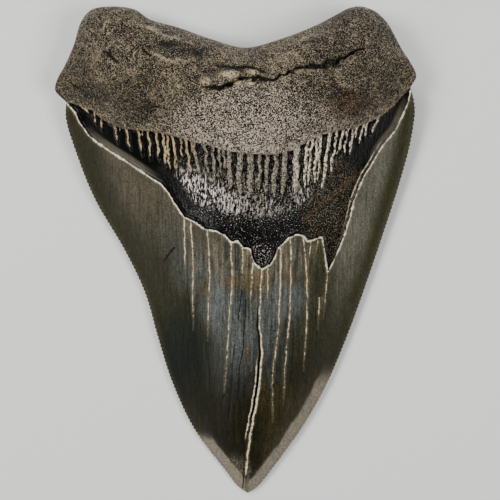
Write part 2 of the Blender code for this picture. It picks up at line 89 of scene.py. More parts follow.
# Fingers of bone that run down from the root line: the x of their tops and of their
# feet, their length and half of their width.
BONE_RIDGES = mm(
    (-42.4, -39.8, 3, 0.2), (-41, -38.8, 3, 0.22), (-38.2, -37.6, 4, 0.26), (-35.8, -36.2, 3.6, 0.28),
    (-32.5, -31.4, 5.2, 0.32), (-30.8, -30.8, 1.8, 0.2), (-28.7, -28, 6.2, 0.3),
    (-25.3, -24.9, 7.4, 0.32), (-24.2, -24.2, 2.2, 0.2), (-22.8, -22.3, 8.2, 0.34),
    (-20.4, -20, 8.2, 0.36), (-18.6, -18.2, 10, 0.38), (-17.7, -17, 11, 0.3),
    (-16.3, -15, 12, 0.36), (-14.2, -13.5, 6.4, 0.3), (-12.9, -11.3, 10.6, 0.4),
    (-11.5, -10.9, 4.4, 0.26), (-10.5, -8.8, 13, 0.42), (-8.6, -8.4, 2, 0.26),
    (-7.6, -7, 9.8, 0.4), (-5.7, -5.2, 13, 0.46), (-4.2, -3.6, 9, 0.36), (-3, -2.6, 7, 0.36),
    (-1.4, -1.2, 13, 0.6), (1.2, 1.2, 13.5, 0.75), (4, 3.8, 13, 0.8), (6.4, 6.2, 12, 0.5),
    (8.3, 8, 13, 0.55), (10.6, 10, 13.5, 0.65), (13, 12.4, 14, 0.7), (16.2, 15.4, 15, 0.85),
    (18.8, 17.8, 14.5, 0.42), (20, 19, 15, 0.36), (21.6, 20.6, 14.5, 0.42), (22.6, 21.6, 15, 0.3),
    (24.8, 22.8, 18, 0.46), (26.7, 24.8, 14, 0.36), (28.6, 26.8, 8.4, 0.36),
    (29.8, 28.6, 8.4, 0.34), (31.4, 30.4, 8.8, 0.42), (32.6, 31.9, 4.4, 0.28),
    (34, 33, 6.2, 0.34), (35.2, 34.4, 5.4, 0.32), (38.6, 36.4, 5.8, 0.38),
)
# Drying cracks down the inner enamel, each from its top.
CRACKS = (
    mm((-13.6, 14.3), (-13.8, 4), (-14, -3.5)),
    mm((-12, 13.4), (-11.6, 3.7), (-12, -10), (-11.8, -18.5)),
    mm((-7.3, 11), (-7.1, 2), (-7.3, -7), (-7.9, -21)),
    mm((-1.2, 7.8), (-1, 0), (-1.1, -5.6), (-1.8, -13.6), (-2.3, -23), (-3.5, -36.7)),
    mm((2, 6.4), (2, 2), (1.7, -5)),
    mm((4.6, 2.4), (4.3, -4.2), (4.1, -13.3)),
    mm((8.8, 1), (8.6, -6.5), (8.4, -11)),
    mm((12, 6.6), (12.1, -4.4), (11.9, -11.2), (11.3, -20.6), (10.3, -30), (10.4, -46)),
    mm((14.7, 8.6), (14.9, -2.3), (14.8, -11.4), (14, -23), (13.7, -30.5), (13.2, -40.5)),
    mm((18, 9.2), (19, 2), (19.6, -10), (19.3, -24), (19, -31)),
    mm((20.4, 7.6), (19.9, 2.8), (19.4, -1.6)),
    mm((22.3, 8.2), (21.8, 5.3), (21.2, 2.7)),
    mm((25.3, -1.6), (24.8, -10.8), (24.6, -16)),
    mm((23.2, -9), (22.9, -18.6)),
)
MAIN_SPLIT = mm(
    (6.6, 0.4), (6.2, -9), (6.1, -15.6), (6.6, -20.3), (6.5, -27.5), (5.4, -38), (4.3, -44.6),
    (3, -54.5), (1.9, -65), (1.6, -68.2),
)
ROOT_SPLIT = mm(
    (-7.2, 48.3), (-3.2, 48.1), (0, 50.2), (3.3, 50.7), (9, 50.6), (11.8, 51.2), (16.3, 52.9),
    (23.2, 54.3), (29.4, 56.6), (33.5, 58.6),
)
# How wide the root's split gapes: pairs of x and half of its width.
ROOT_SPLIT_WIDTH = mm(
    (-7.2, 0.2), (-4.5, 0.5), (-2, 0.55), (1, 0.3), (4, 0.75), (7, 0.6), (9.5, 0.25), (13, 0.22),
    (15.5, 0.5), (19, 0.8), (22, 0.75), (25, 1), (27.5, 0.35), (30, 0.32), (33.5, 0.12),
)
# Furrows in the root's inner face, each half as wide as its first number.
FURROWS = (
    (2.4 * MM, mm((-22.5, 60.6), (-18, 59.4), (-13.9, 58.6), (-10.3, 57.2), (-6.5, 55.6))),
    (0.6 * MM, mm((-4.5, 54.3), (-3, 53.8), (0.5, 53.6), (4.1, 53.3), (7.5, 52.3))),
    (0.8 * MM, mm((-35.1, 57.8), (-32.7, 57.4), (-31.6, 55.6), (-30.2, 54.4))),
    (1.2 * MM, mm((-44, 50.8), (-41.4, 48.3), (-36.9, 45.2))),
    (1.2 * MM, mm((43.6, 52.8), (44.6, 50.4), (45.6, 48.6))),
)
# Low pale crests beside them.
CRESTS = (
    (0.9 * MM, mm((-24.4, 65.2), (-20.4, 62.7), (-15.6, 61.1), (-12.2, 60.1), (-8.6, 58))),
    (0.7 * MM, mm((-22.4, 57.6), (-19.9, 56.6), (-17, 55.3), (-13.4, 54.4))),
    (0.6 * MM, mm((-32.6, 66.3), (-33.9, 64.8), (-34.3, 63.2), (-35.1, 61.6))),
    (0.6 * MM, mm((-37.4, 66), (-36, 66), (-34.6, 65.4))),
)
# Thin dark lines of the inner face and dark pits of its enamel.
DARK_LINES = (
    mm((-19.9, 1.1), (-18.3, 3.4), (-16.6, 5.5)),
    mm((-13.4, -5), (-12.8, -12.6), (-12.3, -19)),
    mm((-8.1, -21.1), (-8.4, -24.5), (-7.6, -30.5), (-7.7, -35)),
    mm((1.7, -5.5), (1.2, -9.8), (0.6, -14.2)),
    mm((2.8, -8.3), (2.3, -17), (2, -22.9), (1.1, -27.5), (0.5, -38.3)),
    mm((-0.5, -21.6), (-1.1, -30.6), (-1.4, -36.8), (-2.1, -43.3)),
    mm((14.3, -11), (13.8, -17.4)),
    mm((16, -17.7), (15.6, -26.7), (15.2, -34.5)),
    mm((18.9, -31), (19.6, -34.7)),
    mm((-2.9, -36.4), (-4, -38.7), (-4.6, -40.4)),
    mm((22, -12), (22.6, -20)),
    mm((-34.2, 57.7), (-33.3, 57.3), (-32.1, 56.4), (-31, 55.4), (-29.9, 54.6)),
    mm((-44.1, 49.7), (-43.2, 48.9), (-42.3, 48.4)),
    mm((-4.8, 53.8), (-2.3, 53.6), (0.3, 53.3), (2.9, 53.6), (7.5, 52.3)),
    mm((-23.4, 57.8), (-22.6, 57.1), (-21.6, 56.6)),
)
ENAMEL_PITS = mm(
    (-11, 3.8), (-7.4, 1.2), (10.7, -17.5), (14.6, -11.6), (23.7, -21.9), (10.1, -39.8),
    (14.6, -14.5), (-4.4, -49.2), (-2.1, -49.5), (-0.4, -52.6), (10.5, -34), (15.7, -33),
)
OUTER_PITS = mm(
    (-30, 57, 2), (31, 55, 2.2), (-36, 48, 1.6), (37, 60, 1.5), (22, 60, 1.4), (-20, 60, 1.7),
    (2, 53, 1.8),
)

# Heights along the tooth, as pairs of y and height.
EDGE_HEIGHT = mm(
    (-70, 1.4), (-62, 1.9), (-40, 2.3), (0, 2.8), (25, 4), (38, 5.6), (46, 7.6), (54, 9),
    (62, 9.6), (70, 9),
)
CROWN_SWELL = mm(
    (-70, 0), (-66, 1.9), (-60, 3.9), (-50, 7), (-35, 10.8), (-20, 13.8), (0, 17.3),
    (15, 20.2), (30, 22.6), (45, 24), (70, 24),
)
OUTER_ARCH = mm((-70, 1.4), (-62, 0.3), (-52, 0), (-40, 0.3), (-15, 1), (10, 0.8), (30, 0), (70, 0))
CROWN_SECTION_POWER = 1.25
OUTER_SECTION_POWER = 2.6

ROOT_CREST_HEIGHT = 31.5 * MM
ROOT_CREST_X = 1 * MM
ROOT_CREST_REACH = 56 * MM
ROOT_LOBE_HEIGHT = 11 * MM
ROOT_ROUNDING = 22 * MM
ROOT_ROUNDING_POWER = 1.8
ROOT_BLEND = 14 * MM
SOFTENING = 0.55
SOFTENING_TURNS = 8
OUTER_ROUNDING = 7 * MM
OUTER_BLEND = 6 * MM

BAND_DEPTH = 1.3 * MM
BAND_WALL = 0.45 * MM
OUTER_LEDGE = 0.6 * MM
OUTER_WALL = 0.8 * MM
RIDGE_HEIGHT = 1.1 * MM
RIDGE_WANDER = 0.45 * MM
CRACK_DEPTH = 0.14 * MM
CRACK_HALF_WIDTH = 0.3 * MM
CRACK_WANDER = 0.22 * MM
CRACK_TAPER = 6 * MM
SPLIT_DEPTH = 0.9 * MM
SPLIT_HALF_WIDTH = 0.4 * MM
SPLIT_TOP_Y = -12 * MM
SPLIT_FOOT_Y = -47 * MM
ROOT_SPLIT_DEPTH = 2.2 * MM
ROOT_SPLIT_WANDER = 0.8 * MM
FURROW_DEPTH = 0.7 * MM
# How far from a crack, split, thin line or stroke its distance is still measured.
MARK_REACH = 3 * MM
STROKE_TAPER = 3 * MM
HAIR_DEPTH = 0.06 * MM
HAIR_WANDER = 0.1 * MM
HAIR_HALF_WIDTH = 0.2 * MM
PIT_RADIUS = 0.22 * MM
ENAMEL_LIP = 0.14 * MM
ENAMEL_LIP_WIDTH = 0.45 * MM
PIT_DEPTH = 1 * MM
LUMP_SIZE = 8 * MM
LUMP_HEIGHT = 0.7 * MM

SERRATION_PITCH = 1.15 * MM
SERRATION_DEPTH = 0.3 * MM
SERRATION_REACH = 1.3 * MM
SERRATION_GROOVE = 0.14 * MM
SERRATION_FADE = 5 * MM

# ================================================================ spacing of the mesh

EDGE_STEPS = 4
ROOT_EDGE_STEP = 0.4 * MM
BONE_GAP = 0.34 * MM
BAND_GAP = 0.27 * MM
ENAMEL_GAP = 0.72 * MM
OUTER_BONE_GAP = 0.62 * MM
OUTER_ENAMEL_GAP = 1.05 * MM
LINE_STEP = 0.34 * MM
CRACK_STEP = 0.4 * MM
ROW_CLEARANCE = 0.12 * MM
# A row beside a bend keeps only points at least this share of its depth from the rim.
FOLD_LIMIT = 0.93
# Clearances of an even field of points from the rim and from what is there, by its spacing.
RIM_SHARE = 0.6
CROWD_SHARE = 0.66
ROW_HEIGHT = 0.866
RIM_PULL_DEPTH = 6 * MM
RIM_PULL = 0.93
RIM_PULL_START_Y = 46 * MM
RIM_PULL_FULL_Y = 52 * MM


# ================================================================ curves and distances


def smooth_curve(points, per_span=14):
    """A centripetal Catmull-Rom curve through the points."""
    first = 2 * points[0] - points[1]
    last = 2 * points[-1] - points[-2]
    ring = np.vstack([first, points, last])
    spans = []
    for a, b, c, d in zip(ring, ring[1:], ring[2:], ring[3:]):
        t1 = np.linalg.norm(b - a) ** 0.5
        t2 = t1 + np.linalg.norm(c - b) ** 0.5
        t3 = t2 + np.linalg.norm(d - c) ** 0.5
        t = np.linspace(t1, t2, per_span, endpoint=False)[:, None]
        ab = a + (b - a) * t / t1
        bc = b + (c - b) * (t - t1) / (t2 - t1)
        cd = c + (d - c) * (t - t2) / (t3 - t2)
        abc = ab + (bc - ab) * t / t2
        bcd = bc + (cd - bc) * (t - t1) / (t3 - t1)
        spans.append(abc + (bcd - abc) * (t - t1) / (t2 - t1))
    return np.vstack(spans + [points[-1][None]])


def along(path, step):
    """Points spaced evenly along a path, about one step apart, ends kept."""
    lengths = np.linalg.norm(np.diff(path, axis=0), axis=1)
    travel = np.concatenate([[0], np.cumsum(lengths)])
    count = max(2, int(round(travel[-1] / step)) + 1)
    at = np.linspace(0, travel[-1], count)
    return np.stack([np.interp(at, travel, path[:, 0]), np.interp(at, travel, path[:, 1])], axis=1)


def length_of(path):
    return np.linalg.norm(np.diff(path, axis=0), axis=1).sum()


def sideways(path):
    """The unit direction to the left of a path at each of its points."""
    run = np.gradient(path, axis=0)
    run /= np.linalg.norm(run, axis=1)[:, None]
    return np.stack([-run[:, 1], run[:, 0]], axis=1)


class Path:
    """A path that quickly gives the closest place on it."""

    FINE = 0.03 * MM

    def __init__(self, points):
        self.points = along(points, self.FINE)
        self.step = np.linalg.norm(self.points[1] - self.points[0])
        self.tree = kdtree.KDTree(len(self.points))
        for number, (x, y) in enumerate(self.points):
            self.tree.insert((x, y, 0), number)
        self.tree.balance()

    def nearest(self, points):
        """Each point's distance, the closest place, and how far along the path that is."""
        found = [self.tree.find((x, y, 0)) for x, y in points]
        number = np.array([hit[1] for hit in found])
        gap = np.array([hit[2] for hit in found])
        return gap, self.points[number], number * self.step

    def distance(self, points):
        return self.nearest(points)[0]


def inside(points, loop):
    """Whether each point lies inside a closed loop."""
    x1, y1 = loop.T
    x2, y2 = np.roll(loop, -1, axis=0).T
    rise = np.where(y2 == y1, 1, y2 - y1)
    counts = []
    for block in np.array_split(points, max(1, len(points) // 4000)):
        x, y = block[:, :1], block[:, 1:]
        crosses = (y1 > y) != (y2 > y)
        counts.append((crosses & (x < (x2 - x1) * (y - y1) / rise + x1)).sum(axis=1))
    return np.concatenate(counts) % 2 == 1


def eased(value, low, high):
    """0 below low, 1 above high, smooth between."""
    t = np.clip((value - low) / (high - low), 0, 1)
    return t * t * (3 - 2 * t)


def read_height(y, pairs):
    """A height that varies smoothly along the tooth."""
    curve = smooth_curve(pairs)
    return np.interp(y, curve[:, 0], curve[:, 1])


def rough(points, size, seed):
    """Smooth noise between -1 and 1, the same on every run."""
    return np.array([noise.noise(Vector((x / size, y / size, seed))) for x, y in points])


LEFT_CURVE = smooth_curve(LEFT_EDGE)
RIGHT_CURVE = smooth_curve(RIGHT_EDGE)
ROOT_CURVE = smooth_curve(ROOT_EDGE)
OUTLINE = np.vstack([LEFT_CURVE[:-1], RIGHT_CURVE[:-1], ROOT_CURVE])
ROOT_LINE_CURVE = smooth_curve(ROOT_LINE)
OUTER_LINE_CURVE = smooth_curve(OUTER_ENAMEL_LINE)
BAND_LOOP = np.vstack([ROOT_LINE_CURVE, ENAMEL_LINE[::-1]])
RIM = Path(OUTLINE)
ROOT_BORDER = Path(ROOT_LINE_CURVE)
ENAMEL_BORDER = Path(ENAMEL_LINE)
OUTER_BORDER = Path(OUTER_LINE_CURVE)


# ================================================================ bulk of the tooth


def edge_height(points):
    return read_height(points[:, 1], EDGE_HEIGHT)


def across_crown(points):
    """-1 at the left cutting edge, 0 midway, 1 at the right one."""
    y = points[:, 1]
    down = LEFT_CURVE[LEFT_CURVE[:, 1].argsort()]
    left = np.interp(y, down[:, 1], down[:, 0])
    right = np.interp(y, RIGHT_CURVE[:, 1], RIGHT_CURVE[:, 0])
    half = np.maximum((right - left) / 2, 0.2 * MM)
    return np.clip((points[:, 0] - (left + right) / 2) / half, -1, 1)


def crown_height(points):
    swell = read_height(points[:, 1], CROWN_SWELL)
    section = (1 - across_crown(points) ** 2) ** CROWN_SECTION_POWER
    return edge_height(points) + swell * section


def rounded(share):
    """A rise from 0 to 1 that starts steep and ends level."""
    left = 1 - np.clip(share, 0, 1)
    return (1 - left**ROOT_ROUNDING_POWER) ** (1 / ROOT_ROUNDING_POWER)


def softened_rise(points, rim, rounding):
    """How far the surface has risen from the rim, with no crease along the lobes' middles."""
    total = rounded(rim / rounding)
    for turn in np.arange(SOFTENING_TURNS) * 2 * np.pi / SOFTENING_TURNS:
        step = np.array([np.cos(turn), np.sin(turn)])
        total += rounded(RIM.distance(points + SOFTENING * rim[:, None] * step) / rounding)
    return total / (SOFTENING_TURNS + 1)


def root_height(points, rim):
    """The root's rounded bulk: a crest that sinks towards the lobes."""
    rise = softened_rise(points, rim, ROOT_ROUNDING)
    sideways_share = np.clip((points[:, 0] - ROOT_CREST_X) / ROOT_CREST_REACH, -1, 1)
    crest = ROOT_LOBE_HEIGHT + (ROOT_CREST_HEIGHT - ROOT_LOBE_HEIGHT) * (1 - sideways_share**2)
    low = edge_height(points)
    return low + (crest - low) * rise


def signed(points, border, line):
    """The distance to a border, positive on the root's side."""
    side = np.where(points[:, 1] > np.interp(points[:, 0], line[:, 0], line[:, 1]), 1, -1)
    return border.distance(points) * side


def pits(points, places):
    depth = np.zeros(len(points))
    for x, y, radius in places:
        gap = np.hypot(points[:, 0] - x, points[:, 1] - y)
        depth = np.maximum(depth, PIT_DEPTH * np.clip(1 - (gap / radius) ** 2, 0, 1))
    return depth


# ================================================================ relief of the faces


def wandering(path, step, wander, size, seed):
    """A path with a slight unsteady wander to either side."""
    path = along(path, step)
    shift = [wander * noise.noise(Vector((x / size, y / size, seed))) for x, y in path]
    return path + sideways(path) * np.array(shift)[:, None]


def ridge_path(ridge):
    """The middle line of one finger of bone."""
    top_x, foot_x, length, _ = ridge
    top_y = np.interp(top_x, ROOT_LINE_CURVE[:, 0], ROOT_LINE_CURVE[:, 1]) + 0.3 * MM
    ends = np.array([(top_x, top_y), (foot_x, top_y - length)])
    return wandering(ends, 0.3 * MM, RIDGE_WANDER, 2.2 * MM, top_x / MM)


def ridge_share(points):
    """1 on the crest of a finger of bone, 0 beside it, thinning towards its foot."""
    best = np.zeros(len(points))
    width_noise = rough(points, 0.9 * MM, 7.3)
    for ridge, path in zip(BONE_RIDGES, RIDGE_PATHS):
        low, high = path.min(axis=0) - 2 * MM, path.max(axis=0) + 2 * MM
        rows = np.flatnonzero(((points > low) & (points < high)).all(axis=1))
        if not len(rows):
            continue
        gap, _, travel = Path(path).nearest(points[rows])
        share = travel / ridge[2]
        width = ridge[3] * (1 + 0.35 * width_noise[rows]) * (1 - 0.45 * eased(share, 0.7, 1))
        profile = np.clip(1.45 - 0.9 * gap / width, 0, 1)
        best[rows] = np.maximum(best[rows], profile * (1 - 0.6 * eased(share, 0.6, 1.02)))
    return best


def gap_from(path, points, reach):
    """Each point's distance from one path, no more than reach, and how far along it is."""
    gap, travel = np.full(len(points), reach), np.zeros(len(points))
    low, high = path.min(axis=0) - reach, path.max(axis=0) + reach
    rows = np.flatnonzero(((points > low) & (points < high)).all(axis=1))
    if len(rows):
        found, _, travel[rows] = Path(path).nearest(points[rows])
        gap[rows] = np.minimum(found, reach)
    return gap, travel


def crack_gap(points):
    """The distance to the nearest crack, which counts as further off where it dies out."""
    best = np.full(len(points), MARK_REACH)
    for path in CRACK_PATHS:
        gap, travel = gap_from(path, points, MARK_REACH)
        length = length_of(path)
        thinning = 0.4 * travel / length + 1 - eased(length - travel, 0, CRACK_TAPER)
        best = np.minimum(best, gap + CRACK_HALF_WIDTH * thinning)
    return best


def split_offset(points):
    """How far right of the long split each point lies, negative to its left."""
    gap, _ = gap_from(SPLIT_PATH, points, MARK_REACH)
    down = SPLIT_PATH[::-1]
    middle = np.interp(points[:, 1], down[:, 1], down[:, 0])
    return np.where(points[:, 0] > middle, gap, -gap)


def root_split_share(points):
    """1 deep in the root's split, 0 from its torn lips on."""
    gap, _ = gap_from(ROOT_SPLIT_PATH, points, 4 * MM)
    half = np.interp(points[:, 0], ROOT_SPLIT_WIDTH[:, 0], ROOT_SPLIT_WIDTH[:, 1])
    half = half * (1 + 1.1 * rough(points, 0.9 * MM, 4.1)) + 0.1 * MM
    return np.clip(1.2 - gap / half, 0, 1)


def hair_gap(points):
    """The distance to the nearest thin dark line or pit of the enamel."""
    best = np.full(len(points), MARK_REACH)
    for path in HAIR_PATHS:
        best = np.minimum(best, gap_from(path, points, MARK_REACH)[0])
    for x, y in ENAMEL_PITS:
        gap = np.hypot(points[:, 0] - x, points[:, 1] - y) - PIT_RADIUS
        best = np.minimum(best, np.maximum(gap, 0))
    return best


def strokes(points, lines):
    """1 along the middle of each line, 0 from its half width on and at its ends."""
    best = np.zeros(len(points))
    for half_width, line in lines:
        path = smooth_curve(line)
        gap, travel = gap_from(path, points, MARK_REACH)
        length = length_of(path)
        ends = eased(np.minimum(travel, length - travel), 0, STROKE_TAPER)
        best = np.maximum(best, np.clip(1 - gap / half_width, 0, 1) * ends)
    return best


def furrow_share(points):
    """1 in the bottom of a furrow of the root, -1 on a crest, 0 beside them."""
    uneven = 0.75 + 0.5 * rough(points, 2.5 * MM, 9.4)
    return (strokes(points, FURROWS) - strokes(points, CRESTS)) * uneven


def groove(gap, half_width):
    """1 in the middle of a groove, 0 from its half width on."""
    return np.clip(1 - gap / half_width, 0, 1)


def notches(travel, length):
    """The serrations' depth along an edge, 0 to 1, dying out at its ends."""
    notch = (0.5 - 0.5 * np.cos(2 * np.pi * travel / SERRATION_PITCH)) ** 2
    return notch * eased(np.minimum(travel, length - travel), 0, SERRATION_FADE)


def serration_wave(points):
    """How deep in a notch of the serrated edge each point lies, 0 to 1, fading inwards."""
    wave = np.zeros(len(points))
    for curve in (LEFT_CURVE, RIGHT_CURVE):
        edge = Path(curve)
        gap, _, travel = edge.nearest(points)
        length = len(edge.points) * edge.step
        notch = notches(travel, length)
        wave = np.maximum(wave, notch * np.clip(1 - gap / SERRATION_REACH, 0, 1))
    return wave


RIDGE_PATHS = [ridge_path(ridge) for ridge in BONE_RIDGES]
CRACK_PATHS = [wandering(smooth_curve(crack), 0.4 * MM, CRACK_WANDER, 1.6 * MM, 5.5) for crack in CRACKS]
HAIR_PATHS = [wandering(smooth_curve(line), 0.4 * MM, HAIR_WANDER, 1.6 * MM, 2.5) for line in DARK_LINES]
SPLIT_PATH = wandering(smooth_curve(MAIN_SPLIT), 0.4 * MM, CRACK_WANDER, 2 * MM, 1.5)
ROOT_SPLIT_PATH = wandering(smooth_curve(ROOT_SPLIT), 0.3 * MM, ROOT_SPLIT_WANDER, 1.3 * MM, 3.5)


def inner_face(points):
    """The inner face's height at each point, and the marks that its finishes follow."""
    rim = RIM.distance(points)
    bone = signed(points, ROOT_BORDER, ROOT_LINE_CURVE)
    in_band = inside(points, BAND_LOOP)
    to_enamel = ENAMEL_BORDER.distance(points)
    enamel = np.where(in_band | (bone > 0), -to_enamel, to_enamel)
    ridge = ridge_share(points)
    crack = crack_gap(points)
    hair = hair_gap(points)
    split = split_offset(points)
    torn = root_split_share(points)
    furrow = furrow_share(points)
    notch = serration_wave(points)

    up_root = np.maximum(bone, 0)
    share = 1 - (1 - np.clip(up_root / ROOT_BLEND, 0, 1)) ** 2
    crown = crown_height(points)
    height = crown + (root_height(points, rim) - crown) * share
    on_root = eased(up_root, 0, BAND_WALL) * eased(rim, 0, RIM_PULL_DEPTH)
    height += on_root * (LUMP_HEIGHT * rough(points, LUMP_SIZE, 0.3) - FURROW_DEPTH * furrow)
    height -= ROOT_SPLIT_DEPTH * torn
    sunk = in_band * eased(np.minimum(-bone, to_enamel), 0, BAND_WALL)
    height += sunk * (RIDGE_HEIGHT * ridge - BAND_DEPTH)
    height += ENAMEL_LIP * (enamel > 0) * groove(to_enamel, ENAMEL_LIP_WIDTH)
    height -= CRACK_DEPTH * groove(crack, CRACK_HALF_WIDTH)
    height -= HAIR_DEPTH * groove(hair, HAIR_HALF_WIDTH)
    gapes = eased(-points[:, 1], -SPLIT_TOP_Y, -SPLIT_TOP_Y + 4 * MM)
    gapes *= 1 - eased(-points[:, 1], -SPLIT_FOOT_Y - 4 * MM, -SPLIT_FOOT_Y)
    height -= SPLIT_DEPTH * gapes * groove(np.abs(split + 0.15 * MM), SPLIT_HALF_WIDTH)
    height -= SERRATION_GROOVE * notch
    marks = {"bone": bone, "enamel": enamel, "ridge": ridge * MM, "crack": crack, "split": split}
    marks |= {"torn": torn * MM, "furrow": furrow * MM, "notch": notch * MM, "rim": rim}
    marks |= {"hair": hair, "inner": np.full(len(points), MM)}
    return height, marks


def outer_face(points):
    """The same for the flat outer face, which the tooth lies on."""
    rim = RIM.distance(points)
    bone = signed(points, OUTER_BORDER, OUTER_LINE_CURVE)
    edge = edge_height(points)
    arch = read_height(points[:, 1], OUTER_ARCH)
    crown = arch + (edge - arch) * np.abs(across_crown(points)) ** OUTER_SECTION_POWER
    root = edge * (1 - rounded(rim / OUTER_ROUNDING)) + pits(points, OUTER_PITS)
    up_root = np.maximum(bone, 0)
    height = crown + (root - crown) * eased(up_root, 0, OUTER_BLEND)
    sunk = eased(up_root, 0, OUTER_WALL) * (1 - eased(up_root, 2 * OUTER_WALL, OUTER_BLEND))
    height += OUTER_LEDGE * sunk * eased(rim, 0, OUTER_ROUNDING)
    notch = serration_wave(points)
    height += SERRATION_GROOVE * notch
    far = np.full(len(points), MARK_REACH)
    none = np.zeros(len(points))
    marks = {"bone": bone, "enamel": -bone, "ridge": none, "crack": far, "split": far}
    marks |= {"torn": none, "furrow": none, "notch": notch * MM, "rim": rim}
    marks |= {"hair": far, "inner": none}
    return np.maximum(height, 0), marks


# ================================================================ points of the mesh


def serrated(curve):
    """A cutting edge with a small notch at every pitch, dying out at its ends."""
    points = along(curve, SERRATION_PITCH / EDGE_STEPS)
    travel = np.arange(len(points)) * SERRATION_PITCH / EDGE_STEPS
    return points + sideways(points) * (SERRATION_DEPTH * notches(travel, travel[-1]))[:, None]


def outline_points():
    """The rim of the tooth, once round, with the serrations cut in."""
    parts = [serrated(LEFT_CURVE), serrated(RIGHT_CURVE), along(ROOT_CURVE, ROOT_EDGE_STEP)]
    return np.vstack([part[:-1] for part in parts])


def beside(path, step, offsets):
    """Rows of points on a path and beside it, at each offset to its left."""
    points = along(path, step)
    across = sideways(points)
    return [points + across * offset for offset in offsets]


def rim_rows(root_depths, root_step, edge_depths, edge_step):
    """Rows that follow the rim, so that its rounding is smooth."""
    rows = []
    for depth in root_depths:
        points = beside(ROOT_CURVE, root_step, [depth])[0]
        rows.append(points[RIM.distance(points) > FOLD_LIMIT * depth])
    for depth in edge_depths:
        for curve in (LEFT_CURVE, RIGHT_CURVE):
            points = beside(curve, edge_step, [depth])[0]
            rows.append(points[RIM.distance(points) > FOLD_LIMIT * depth])
    return rows


UNIT_STEPS = np.array([(1, 0), (0.31, 0.95), (-0.81, 0.59), (-0.81, -0.59), (0.31, -0.95)])


def inner_rows():
    """Rows along every line of the inner face that has to stay sharp."""
    rows = beside(ROOT_LINE_CURVE, LINE_STEP, mm(0, -0.22, -0.5))
    rows += beside(ENAMEL_LINE, LINE_STEP, mm(0, 0.22, 0.5, -0.35, -0.75))
    for ridge, path in zip(BONE_RIDGES, RIDGE_PATHS):
        rows += beside(path, LINE_STEP, [0, ridge[3], -ridge[3]])
    for path in CRACK_PATHS:
        rows += beside(path, CRACK_STEP, mm(0, 0.16, -0.16, 0.36, -0.36))
    for path in HAIR_PATHS:
        rows += beside(path, CRACK_STEP, mm(0, 0.25, -0.25))
    rows += [ENAMEL_PITS] + [ENAMEL_PITS + PIT_RADIUS * 1.6 * turn for turn in UNIT_STEPS]
    rows += beside(SPLIT_PATH, CRACK_STEP, mm(0, 0.2, -0.2, 0.45, -0.45, -0.7))
    rows += beside(ROOT_SPLIT_PATH, LINE_STEP, mm(0, 0.3, -0.3, 0.6, -0.6, 0.95, -0.95))
    return rows


def outer_rows():
    return beside(OUTER_LINE_CURVE, 0.6 * MM, mm(0, 0.4, 0.85))


def staggered(spacing):
    """An even field of points over the whole outline's box."""
    low, high = OUTLINE.min(axis=0), OUTLINE.max(axis=0)
    rows = []
    for number, y in enumerate(np.arange(low[1], high[1], spacing * ROW_HEIGHT)):
        x = np.arange(low[0] + (number % 2) * spacing / 2, high[0], spacing)
        rows.append(np.stack([x, np.full(len(x), y)], axis=1))
    return np.vstack(rows)


class Settled:
    """Points taken one by one, each refused where it would crowd an earlier one."""

    CELL = 0.3 * MM

    def __init__(self):
        self.cells = {}
        self.points = []

    def add(self, points, clearance):
        reach = int(math.ceil(clearance / self.CELL))
        span = range(-reach, reach + 1)
        limit = clearance * clearance
        for x, y in points:
            column, row = int(x // self.CELL), int(y // self.CELL)
            close = (
                (x - a) ** 2 + (y - b) ** 2 < limit
                for i in span for j in span
                for a, b in self.cells.get((column + i, row + j), ())
            )
            if not any(close):
                self.cells.setdefault((column, row), []).append((x, y))
                self.points.append((x, y))


def face_points(rim, rows, fills):
    """All of one face's points behind the rim's: first the rows, then the even fills."""
    settled = Settled()
    settled.add(rim, 0)
    for row in rows:
        row = row[inside(row, OUTLINE)]
        settled.add(row[RIM.distance(row) > ROW_CLEARANCE * 2], ROW_CLEARANCE)
    for spacing, keep in fills:
        points = staggered(spacing)
        points = points[inside(points, OUTLINE)]
        points = points[keep(points)]
        settled.add(points[RIM.distance(points) > RIM_SHARE * spacing], CROWD_SHARE * spacing)
    return np.array(settled.points[len(rim):])


def on_bone(line):
    return lambda points: points[:, 1] > np.interp(points[:, 0], line[:, 0], line[:, 1])


def on_band(points):
    return inside(points, BAND_LOOP)


def anywhere(points):
    return np.ones(len(points), dtype=bool)


# ================================================================ the mesh


def pulled_to_rim(points):
    """Move points near the root's rim outwards, where the surface turns steep."""
    gap, foot, _ = RIM.nearest(points)
    share = np.clip(gap / RIM_PULL_DEPTH, 0, 1)
    shift = RIM_PULL * (1 - share) ** 2
    shift *= eased(points[:, 1], RIM_PULL_START_Y, RIM_PULL_FULL_Y)
    return points + (foot - points) * shift[:, None]


def triangulate(rim, loose):
    """Triangles over one face, and where each of the rim's points comes in them."""
    edges = [(at, (at + 1) % len(rim)) for at in range(len(rim))]
    flat = np.vstack([rim, loose])
    found = delaunay_2d_cdt([Vector(point) for point in flat], edges, [], 1, 1e-8)
    points = np.array([tuple(point) for point in found[0]])
    order = {old: new for new, olds in enumerate(found[3]) for old in olds}
    return points, found[2], [order[at] for at in range(len(rim))]


def chord_middles(points, triangles, rim_at):
    """The middles of inner edges that join two rim points: they would fold the solid flat."""
    place = {at: number for number, at in enumerate(rim_at)}
    middles = {}
    for triangle in triangles:
        for a, b in zip(triangle, triangle[1:] + triangle[:1]):
            if a in place and b in place:
                if abs(place[a] - place[b]) not in (1, len(rim_at) - 1):
                    middles[min(a, b), max(a, b)] = (points[a] + points[b]) / 2
    return list(middles.values())


